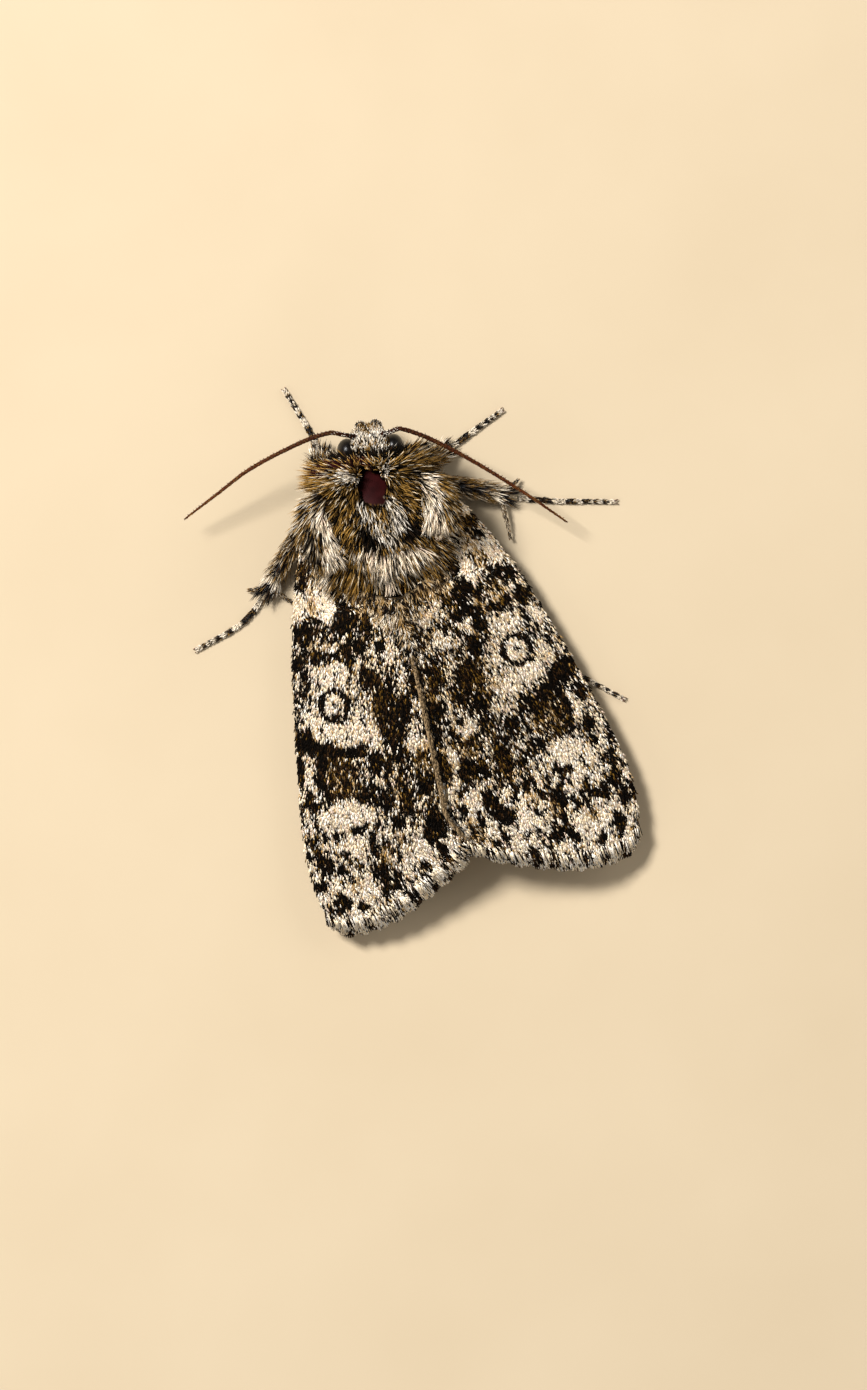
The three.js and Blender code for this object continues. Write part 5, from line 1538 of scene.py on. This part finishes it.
def head_frame(azimuth, elevation):
    """Root and normal on the head's ellipsoid: azimuth from the front towards the left."""
    ball_point = np.stack(
        [np.sin(azimuth) * np.cos(elevation), -np.cos(azimuth) * np.cos(elevation), np.sin(elevation)], -1)
    root = head_place(ball_point * HEAD_RADII)
    normal = unit(head_place(ball_point / HEAD_RADII) - HEAD)
    return root, normal


def head_hairs(count=5000):
    azimuth = np.radians(rng.uniform(-180, 180, count * 2))
    elevation = np.arcsin(rng.uniform(-0.85, 1, count * 2))
    root, normal = head_frame(azimuth, elevation)
    offset = root - HEAD
    beside_eye = np.abs(offset[:, 0]) > 0.7
    behind = (offset[:, 1] > 0.45) & (offset[:, 2] < 0.5)
    over_eye = beside_eye & (offset[:, 1] > 0.25) & (offset[:, 2] > 0.1)
    use = np.flatnonzero((~beside_eye & ~behind) | over_eye)[:count]
    root, normal, offset = root[use], normal[use], offset[use]
    azimuth, elevation = azimuth[use], elevation[use]
    forward = np.c_[0.1 * offset[:, 0], np.full(len(use), -1.0), 0.12 - 0.2 * (offset[:, 2] < -0.3)]
    lies = unit(forward + 0.3 * normal + rng.normal(0, 0.12, root.shape))
    beside, front = smoothstep(np.abs(offset[:, 0]), 0.3, 0.7), smoothstep(-offset[:, 1], 0.2, 0.5)
    lengths = rng.uniform(0.22, 0.38, len(use)) * lerp(1.0, 0.7, beside)
    lengths = lengths * lerp(1.0, 0.6, front * smoothstep(offset[:, 2], -0.3, 0.3))
    draw = rng.random(len(use))
    colours = coat_colours(root + lies * lengths[:, None] * 0.6, draw)
    low = root[:, 2] < BROW_HEIGHT
    colours[low] = np.where((draw[low] < 0.54)[:, None], np.r_[ASH, WHITE], np.r_[INK, INK])
    unwrap = 0.02 + 0.96 * (np.stack([azimuth / (2 * math.pi), elevation / math.pi], -1) + 0.5)
    lay_blades(
        "face_coat", root, normal, lies, lengths, rng.uniform(0.03, 0.05, len(use)),
        rng.uniform(0.1, 0.4, len(use)), colours, unwrap, HAIR, rng.normal(0, 0.1, len(use)), crosses_eye)


head_hairs()

# %% [markdown]
# ## Hairs round a rod
# Flaps, palps and legs are rods that bend. A root on one is a share of the way along it and a
# turn about it, and its hair lies along the rod. Each piece then only says how its own hairs
# differ.

# %% Roots round a rod
def along_limb(path, radii, s, turn):
    """Roots, normals and lies round a limb: s from 0 to 1 along it, turn in radians from the top."""
    here = polyline(path, s)
    lie = unit(polyline(path, np.minimum(s + 0.02, 1)) - polyline(path, np.maximum(s - 0.02, 0)))
    up = np.array((0.0, 0.0, 1.0)) - lie * lie[:, 2:]
    up = unit(up)
    normal = up * np.cos(turn)[:, None] + np.cross(lie, up) * np.sin(turn)[:, None]
    radius = np.interp(s, np.linspace(0, 1, len(radii)), radii)
    return here + normal * radius[:, None], normal, lie


def rod_map(s, turn):
    """The unwrap of a rod: its turn across the map, its length up it."""
    return np.stack([0.05 + 0.9 * (turn / (2 * math.pi) + 0.5), 0.05 + 0.9 * s], -1)


print("roots can be set round a rod")

# %% [markdown]
# ## The coats of the palps and flaps
# The palps wear a short grey brush. The flaps wear long hairs that lie back over the roots of the
# wings, swing outwards at the front and end in a ragged line on the wing. The coat's regions give
# them their white middle.

# %% Palps and flaps
def tegula_hairs(side_name, side, reach, count=3700):
    """reach: how much of the flap's length grows hairs."""
    s = reach * rng.uniform(0.0, 1.0, count) ** 0.9
    turn = np.radians(rng.uniform(-115, 115, count))
    roots, normals, lies = along_limb(smooth_path(tegula_path(side)), (0.27, 0.41, 0.4, 0.2), s, turn)
    outward = np.stack([np.full(count, side), np.zeros(count), np.full(count, -0.35)], -1)
    tufts = noise(s * 9, turn * 4, 35 + side) - 0.5  # neighbours lean together, in tufts
    strength = 0.4 * np.clip(side * normals[:, 0], -0.1, 1) + 0.55 * (1 - s / reach) ** 2 + 0.6 * tufts
    lies = unit(lies + outward * strength[:, None] + rng.normal(0, 0.13, roots.shape))
    lengths = rng.uniform(0.6, 1.05, count)
    colours = coat_colours(roots + lies * lengths[:, None] * 0.75 + (0, 0, 3), rng.random(count))
    colours = colours * rng.uniform(0.6, 1.2, (count, 1))
    ends = rng.uniform(2.7, 3.2, count)  # where the flap's hairs end on the wing
    tip_a, tip_b = WINGS[side_name].plan(*(roots + lies * lengths[:, None])[:, :2].T)
    lengths = lengths - np.clip(tip_a - ends, 0, 0.7)
    use = (lengths > 0.25) & ((tip_a < ends + 0.7) | (tip_b > 2))
    lay_blades(
        f"tegula_coat_{side_name}", roots[use], normals[use], lies[use], lengths[use],
        rng.uniform(0.045, 0.08, count)[use], rng.uniform(0.1, 0.35, count)[use], colours[use],
        rod_map(s, turn)[use], HAIR, rng.normal(0, 0.12, count)[use])


def palp_hairs(side_name, side, count=650):
    s, turn = rng.random(count) ** 0.8, rng.uniform(-math.pi, math.pi, count)
    roots, normals, lies = along_limb(smooth_path(palp_path(side)), PALP_RADII, s, turn)
    draw = rng.random(count)
    colours = np.where((draw < 0.45)[:, None], np.r_[ASH, WHITE], np.r_[INK, INK])
    colours = np.where((draw > 0.8)[:, None], np.r_[UMBER, OCHRE], colours)
    lay_blades(
        f"palp_coat_{side_name}", roots, normals, lies, rng.uniform(0.16, 0.3, count),
        rng.uniform(0.03, 0.045, count), rng.uniform(0.2, 0.5, count), colours, rod_map(s, turn), HAIR)


palp_hairs("left", 1)
palp_hairs("right", -1)
tegula_hairs("left", 1, 0.95)
tegula_hairs("right", -1, 0.72)

# %% [markdown]
# ## Where the coat meets the wings
# Behind the thorax long scales carry its coat on to the wings, so that no line shows. They are
# the body's blades in the wing's colours, and the first start under the thorax's own hairs.

# %% Hairs on the wings' inner roots
def wing_root_hairs(side, wing, count=2300):
    y = lerp(-4.2, 0.4, rng.random(count) ** 1.3)
    inner_a, inner_b = wing.plan(wing.inner_x(y) * wing.side, y)
    b = inner_b - rng.uniform(0.0, 1.0, count) ** 1.8 * lerp(1.6, 0.5, smoothstep(y, -3, 0.6))
    b = b + 0.2 * (1 - smoothstep(y, -2.2, -1.7))  # the first roots are under the thorax's hairs
    t, share = plan_to_share(wing, inner_a, b)
    use = (t > 0.01) & (share > 0.05) & (share < 1.05)
    t, share = t[use], share[use]
    roots, ups, lies, a, b = wing_frame(side, wing, t, share)
    count = len(t)
    fan = rng.normal(0.1, 0.3, count) + 0.8 * (noise(a * 3, b * 4, 37) - 0.5)
    lies = turned(lies, ups, wing.side * fan)
    tips = wing_colours(side, a + 0.3, b, rng.random(count)) * rng.uniform(0.7, 1.1, (count, 1))
    lay_blades(
        f"wing_root_coat_{side}", roots, ups, lies, rng.uniform(0.3, 0.55, count),
        rng.uniform(0.045, 0.075, count), rng.uniform(0.1, 0.3, count), np.c_[tips * 0.6, tips],
        wing_map(a, b), HAIR, rng.normal(0, 0.1, count))


for side, wing in WINGS.items():
    wing_root_hairs(side, wing)

# %% [markdown]
# ## The coat of the legs
# Femur and tibia wear long fringes, mostly on two sides, and tarsus and spurs are clad in tight
# scales. Hairs that would dip into the floor are pressed up. All hairs of one side's legs are one
# piece, with a strip of the map for each part of a leg.

# %% Hairs of the legs
LEG_HAIR = scale_material("hair and scales of a moth's legs", 0.6, 0.1)
FLOOR_ROOM = 0.06  # the hairs keep this much of the room below their roots


def leg_stretches(leg):
    """Path, radii, hairs, lengths, how far they stand off and the colour's start for each part."""
    hip, knee, ankle = (np.array(leg[name]) for name in ("hip", "knee", "ankle"))
    femur, tibia = [hip, lerp(hip, knee, 0.35), knee], [knee, lerp(knee, ankle, 0.6), ankle]
    stretches = [
        (femur, (0.17, FEMUR_RADIUS, 0.13), 420, (0.35, 0.6), 0.35, 0),
        (tibia, (0.12, TIBIA_RADIUS, 0.11), 800, (0.4, 0.75), 0.5, 1),
        (tarsus_path(leg), (0.1, 0.085, 0.07, 0.06), 600, (0.13, 0.2), 0.28, 2),
    ]
    for spur in leg["spurs"]:
        stretches.append((spur_path(leg, *spur), (0.08, 0.075, 0.04), 90, (0.14, 0.22), 0.2, 0))
    return stretches


def leg_hairs(piece_name, side_name):
    names = [name for name in LEGS if name.endswith(side_name)]
    sets = []
    for index, name in enumerate(names):
        for part, (path, radii, count, length, lift, start) in enumerate(leg_stretches(LEGS[name])):
            s, turn = rng.random(count), rng.uniform(-math.pi, math.pi, count)
            if part < 2:
                turn = np.where(rng.random(count) < 0.6, np.sign(turn) * rng.normal(1.5, 0.35, count), turn)
            roots, normals, lies = along_limb(path, radii, s, turn)
            reach = rng.uniform(*length, count)
            off = np.full(count, lift) * rng.uniform(0.6, 1.3, count)
            headroom = np.maximum(roots[:, 2] - FLOOR_ROOM, 0.02)
            down = np.clip(-normals[:, 2], 0.05, 1)
            off = np.minimum(off, headroom / (down * reach))
            lies = lies + rng.normal(0, 0.06, lies.shape)
            lies[:, 2] = np.maximum(lies[:, 2], -headroom / reach * 0.6)
            colours = leg_colours(start + s, rng.random(count)) * rng.uniform(0.85, 1.1, (count, 1))
            wide = rng.uniform(0.03, 0.055, count)
            strip = 6 * index + part + 0.9 * np.mod(turn / (2 * math.pi), 1)
            unwrap = np.stack([0.03 + 0.94 * strip / (6 * len(names)), 0.03 + 0.94 * s], -1)
            sets.append((roots, normals, lies, reach, wide, off, colours, unwrap))
    roots, normals, lies, reach, wide, off, colours, unwrap = (np.concatenate(part) for part in zip(*sets))
    lay_blades(piece_name, roots, normals, lies, reach, wide, off, colours, unwrap,
               LEG_HAIR, rng.normal(0, 0.1, len(roots)))


leg_hairs("leg_coat_left", "left")
leg_hairs("leg_coat_right", "right")

# %% [markdown]
# ## Feelers
# An antenna is a thread of about fifty-five joints, two tenths of a millimetre thick at the root.
# Each joint widens towards its end, which gives a fine saw edge that a bevelled curve wouldn't
# have. So a tube is wrapped from a grid, whose edges are welded to one another.

# %% Tubes
def wrap_tube(name, path, radius, rings, sides, material, tint=None):
    """A closed tube round a path, from a grid whose edges are welded. tint: colours along it."""
    bpy.ops.object.select_all(action="DESELECT")
    bpy.ops.mesh.primitive_grid_add(x_subdivisions=rings, y_subdivisions=sides, size=1)
    piece = bpy.context.object
    piece.name = piece.data.name = name
    s, around = (read_points(piece)[:, :2] + 0.5).T
    turn = around * 2 * math.pi
    _, normals, _ = along_limb(path, (0, 0), s, turn)
    closing = np.sqrt(np.clip(1 - np.abs(2 * s - 1) ** 60, 0, 1))
    put_points(piece, polyline(path, s) + normals * (radius(s) * closing)[:, None])
    if tint:
        paint(piece, tint(s))
    bpy.ops.object.mode_set(mode="EDIT")
    bpy.ops.mesh.select_all(action="SELECT")
    bpy.ops.mesh.remove_doubles(threshold=1e-6)
    bpy.ops.mesh.normals_make_consistent(inside=False)
    bpy.ops.object.mode_set(mode="OBJECT")
    bpy.ops.object.shade_smooth()
    piece.data.materials.append(material)
    return piece


print("a tube can be wrapped")

# %% [markdown]
# ## The threads and their scales
# The thread is rusty, darker towards its root, and clad in short scales on its upper side, black
# and white at the first joints. A pair of pale bristles stands at the end of each joint. They are
# the body's blades again.

# %% Antennae
ANTENNAE = {
    "left": (1, [(1.62, -9.92, 4.2), (3.07, -9.76, 3.85), (5.53, -9.1, 3.1), (7.22, -8.34, 2.45),
                 (8.87, -7.58, 1.8)]),
    "right": (-1, [(-1.55, -9.44, 4.2), (-2.76, -8.73, 3.85), (-4.35, -7.46, 3.3), (-6.29, -5.66, 2.6),
                   (-8.08, -3.83, 1.8)]),
}
ANTENNA_JOINTS = 55
ANTENNA_PROFILE = through(
    [(0, 0.12), (0.03, 0.13), (0.05, 0.1), (0.08, 0.1), (0.3, 0.098), (0.7, 0.078), (1, 0.04)])
RUST = linear(0x502813)
FEELER = scale_material("rusty thread of an antenna", 0.5, 0.0)


def joint_radius(s):
    along = np.mod(s * ANTENNA_JOINTS, 1)
    return ANTENNA_PROFILE(s) * (0.86 + 0.26 * along - 0.26 * smoothstep(along, 0.86, 1))


def feeler_tint(s):
    dark = 0.55 + 0.45 * smoothstep(np.mod(s * ANTENNA_JOINTS, 1), 0, 0.3)
    return RUST[None] * (dark * lerp(0.3, 1.3, s))[:, None]


def feeler_scales(name, path, side):
    count = 1100
    s, turn = rng.random(count) ** 1.3, rng.normal(0, 1.0, count)
    near_root = smoothstep(s, 0.16, 0.05)
    roots, normals, lies = along_limb(path, ANTENNA_PROFILE(np.linspace(0, 1, 40)) * 0.96, s, turn)
    draw = rng.random(count)
    dark = np.where((draw < 0.7)[:, None], INK, WHITE)
    rusty = np.where((draw < 0.75)[:, None], RUST * 0.6, lerp(RUST, OCHRE, 0.4))
    rusty = rusty * lerp(0.35, 1.25, s)[:, None]
    colours = np.where((rng.random(count) < near_root)[:, None], dark, rusty)
    teeth = 2 * ANTENNA_JOINTS
    at = (np.arange(teeth) // 2 + 0.8) / ANTENNA_JOINTS
    at = np.clip(at[at < 0.99], 0.06, 1)
    behind = np.where(np.arange(len(at)) % 2 == 0, 1.75, 2.5) * side
    more, out, along = along_limb(path, ANTENNA_PROFILE(np.linspace(0, 1, 40)) * 0.9, at, behind)
    pale = np.where((rng.random(len(at)) < 0.6)[:, None], lerp(OCHRE, CREAM, 0.5), RUST)
    colours = np.concatenate([colours, pale])
    unwrap = np.stack([0.05 + 0.9 * np.r_[s, at], 0.5 + 0.12 * np.r_[turn, behind]], -1)
    lay_blades(
        name, np.r_[roots, more], np.r_[normals, np.cross(out, along)],
        np.r_[lies, out + 0.3 * along], np.r_[rng.uniform(0.08, 0.12, count), np.full(len(at), 0.08)],
        np.r_[rng.uniform(0.025, 0.04, count), np.full(len(at), 0.035)],
        np.r_[np.full(count, 0.02), np.zeros(len(at))], np.c_[colours, colours], unwrap, HAIR)


for name, (side, points) in ANTENNAE.items():
    root = head_place((side * 0.42, -0.42, 0.8))
    path = smooth_path([root, lerp(root, np.array(points[0]), 0.55) + (0, 0, 0.08), *points], 200)
    feeler = wrap_tube(
        f"antenna_thread_{name}", path, joint_radius, ANTENNA_JOINTS * 7, 14, FEELER, feeler_tint)
    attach(feeler, "root")
    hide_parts(f"antenna_{name}_scape", f"antenna_{name}_flagellum")
    feeler_scales(f"antenna_scales_{name}", path, side)

# %% [markdown]
# ## Eyes
# A compound eye is a dome of thousands of facets, each a fortieth of a millimetre across, and
# looks black with a soft, wide highlight. No camera would find the facets' edges, so the dome is
# a stretched icosphere, and they are cells of a bump pattern of their real size.

# %% Eyes
CORNEA, tree = new_material("faceted black cornea")
place = node(tree, "ShaderNodeTexCoord")
facets = node(
    tree, "ShaderNodeTexVoronoi", {"feature": "DISTANCE_TO_EDGE"}, Vector=place.outputs["Object"],
    Scale=40000.0)
domes = node(tree, "ShaderNodeMapRange", Value=facets.outputs["Distance"], From_Min=0.0, From_Max=0.25)
bump = node(tree, "ShaderNodeBump", Height=domes.outputs["Result"], Strength=0.2, Distance=0.000004)
cloud = node(tree, "ShaderNodeTexNoise", Vector=place.outputs["Object"], Scale=2500.0)
brown = node(tree, "ShaderNodeMix", {"data_type": "RGBA"}, Factor=cloud.outputs["Fac"])
brown.inputs["A"].default_value = rgba(linear(0x040303))
brown.inputs["B"].default_value = rgba(linear(0x120D0A))
shader = node(
    tree, "ShaderNodeBsdfPrincipled", Base_Color=brown.outputs["Result"], Roughness=0.28,
    Normal=bump.outputs["Normal"], Specular_IOR_Level=0.25)
node(tree, "ShaderNodeOutputMaterial", Surface=shader.outputs["BSDF"])

for name, side in (("left", 1), ("right", -1)):
    bpy.ops.object.select_all(action="DESELECT")
    bpy.ops.mesh.primitive_ico_sphere_add(
        subdivisions=5, radius=MM, location=Vector(to_frame(eye_middle(side))),
        rotation=(0, 0, HEAD_TURN), scale=EYE_RADII)
    eye = bpy.context.object
    eye.name = eye.data.name = f"compound_eye_{name}"
    bpy.ops.object.transform_apply(location=True, rotation=True, scale=True)
    bpy.ops.object.shade_smooth()
    eye.data.materials.append(CORNEA)
    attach(eye, "root")
    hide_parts(f"eye_{name}")
print("two compound eyes")

# %% [markdown]
# ## Claws
# Each tarsus ends in two hooked claws of bare, glossy horn. A claw could be bent from a cone.
# Here it is a tube like the feeler's, wrapped round a hooked path and drawn out to a point, and
# the twelve are joined as one piece.

# %% Claws
HORN, tree = new_material("glossy horn of a claw")
place = node(tree, "ShaderNodeTexCoord")
# Growth shades along the horn, about a tenth of a millimetre apart.
growth = node(tree, "ShaderNodeTexNoise", Vector=place.outputs["Object"], Scale=9000.0, Detail=2.0)
brown = node(tree, "ShaderNodeMix", {"data_type": "RGBA"}, Factor=growth.outputs["Fac"])
brown.inputs["A"].default_value = rgba(linear(0x2A1108))
brown.inputs["B"].default_value = rgba(linear(0x5C2E14))
bump = node(tree, "ShaderNodeBump", Height=growth.outputs["Fac"], Strength=0.15, Distance=0.000005)
shader = node(
    tree, "ShaderNodeBsdfPrincipled", Base_Color=brown.outputs["Result"], Roughness=0.3,
    Normal=bump.outputs["Normal"])
node(tree, "ShaderNodeOutputMaterial", Surface=shader.outputs["BSDF"])


def claw_path(leg, side):
    """Out of the last joint, up and over, and down to the floor."""
    foot = tarsus_path(leg)
    heading = unit(foot[-1] - foot[-6])
    beside = np.array((-heading[1], heading[0], 0)) * side
    steps = ((-0.02, 0.02, 0), (0.07, 0.06, 0.04), (0.15, 0.09, 0.02), (0.2, 0.1, -0.09))
    points = [foot[-1] + ahead * heading + out * beside + (0, 0, up) for ahead, out, up in steps]
    return smooth_path(points, 24)


def claw_radius(s):
    return lerp(0.05, 0.012, s**0.8)


claws = [wrap_tube("claws", claw_path(leg, side), claw_radius, 14, 8, HORN)
         for leg in LEGS.values() for side in (-1, 1)]
for claw in claws:
    claw.select_set(True)
bpy.context.view_layer.objects.active = claws[0]
bpy.ops.object.join()
claws[0].name = claws[0].data.name = "claws"
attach(claws[0], "root")
print("twelve claws,", len(claws[0].data.polygons), "faces")

# %% [markdown]
# ## Hindwings
# At rest the hindwings are folded under the forewings, and only their edges show from behind.
# They are whitish grey with brown veins and a dusky border. Each lies on the forewing's plan, a
# millimetre lower, with a fan's shallow pleats, so that the two can't cross.

# %% Hindwing membranes
HIND_START = 2.9
HIND_TERMEN = through([(0, 12.8), (0.2, 13.4), (0.5, 13.5), (0.8, 13), (1, 12.2)])
HIND_DROP = 0.95  # below the top of the forewing


def hind_point(side, wing, t, share):
    """A point of the hindwing's upper face by its reach and its share across, with its a and b."""
    a = lerp(HIND_START, HIND_TERMEN(share), t)
    inner = np.interp(a, A_TABLE, wing.inner_table)
    edge = wing.costal_edge(a)
    front = lerp(edge, inner, lerp(0.52, 0.42, smoothstep(a, 3, 7)))
    back = lerp(edge, inner, lerp(0.86, 0.995, smoothstep(a, 3, 6)))
    b = lerp(front, back, share)
    fold = 0.05 * np.abs(np.mod(share * 4 + 0.5, 1) * 2 - 1)  # fan-like pleats
    z = wing.height(a, b) - HIND_DROP + wing_lap(side, wing, a, b) + fold
    return np.stack([*np.moveaxis(wing.place(a, b), -1, 0), z], -1), a, b


def hind_colours(t, share, draw):
    vein = 1 - smoothstep(np.abs(np.mod(share * 7 + 0.5, 1) - 0.5), 0.03, 0.12)
    border = smoothstep(t, 0.8, 0.93) * (1 - smoothstep(t, 0.97, 0.99))
    dusky = np.clip(0.1 + 0.5 * vein + 0.55 * border, 0, 0.9)
    pale = np.where((hashed(np.floor(draw * 1e6), np.floor(share * 1e4), 3) < 0.6)[:, None], WHITE, ROSE)
    return np.where((draw < dusky)[:, None], ASH * 0.7, pale)


for side, wing in WINGS.items():
    sheet, t, share, a, b = wing_sheet(f"hindwing_membrane_{side}", side, wing, hind_point, 110, 48)
    paint(sheet, hind_colours(t, share, hashed(np.floor(a * 53), np.floor(b * 61), 4)))
    finish_sheet(sheet)
    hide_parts(f"hindwing_{side}")

# %% [markdown]
# ## Hidden faces of the wings
# The hindwings' two faces and the forewings' smoky undersides wear the same shields, turned over
# where they hang from a lower face. They are sparser and larger than real ones, because they are
# seldom seen.

# %% Hidden scales
LABELS = {1: "upper", -1: "lower"}


def under_colours(t, share, draw):
    """Colours of the forewing's underside."""
    edge = np.maximum(1 - smoothstep(share, 0.03, 0.14), smoothstep(t, 0.86, 0.95))
    bar = (1 - smoothstep(np.abs(t - 0.6), 0.02, 0.05)) * (1 - smoothstep(share, 0.5, 0.7))
    smoke = 0.62 - 0.4 * edge + 0.3 * bar
    light = np.where((draw * 7 % 1 < 0.5)[:, None], CREAM, WHITE)
    return np.where((draw < smoke)[:, None], ASH * 0.45, light * 0.85)


def hidden_scales(name, side, wing, place, tint, face, count):
    """Broad scales on a membrane's upper (1) or lower (-1) face."""
    t, share = rng.uniform(0, 0.985, count), rng.uniform(0.03, 0.955, count)
    here, up, lie, _, _ = face_frame(place, side, wing, t, share)
    root = here - up * (MEMBRANE_THICKNESS if face < 0 else 0)
    turn = rng.normal(0, 0.16, count)[:, None]
    lie = unit(lie * np.cos(turn) + np.cross(lie, up) * np.sin(turn))
    unwrap = np.stack([0.03 + 0.94 * t, 0.03 + 0.94 * share], -1)
    lay_scales(
        name, root, up * face, lie, rng.uniform(0.36, 0.46, count), rng.uniform(0.24, 0.32, count),
        rng.uniform(0.02, 0.05, count), tint(t, share, rng.random(count)), unwrap)


for side, wing in WINGS.items():
    for face in (1, -1):
        hidden_scales(f"hindwing_scales_{LABELS[face]}_{side}", side, wing, hind_point,
                      hind_colours, face, 2300)
    hidden_scales(
        f"forewing_underside_{side}", side, wing, fore_point, under_colours, -1, 4300)
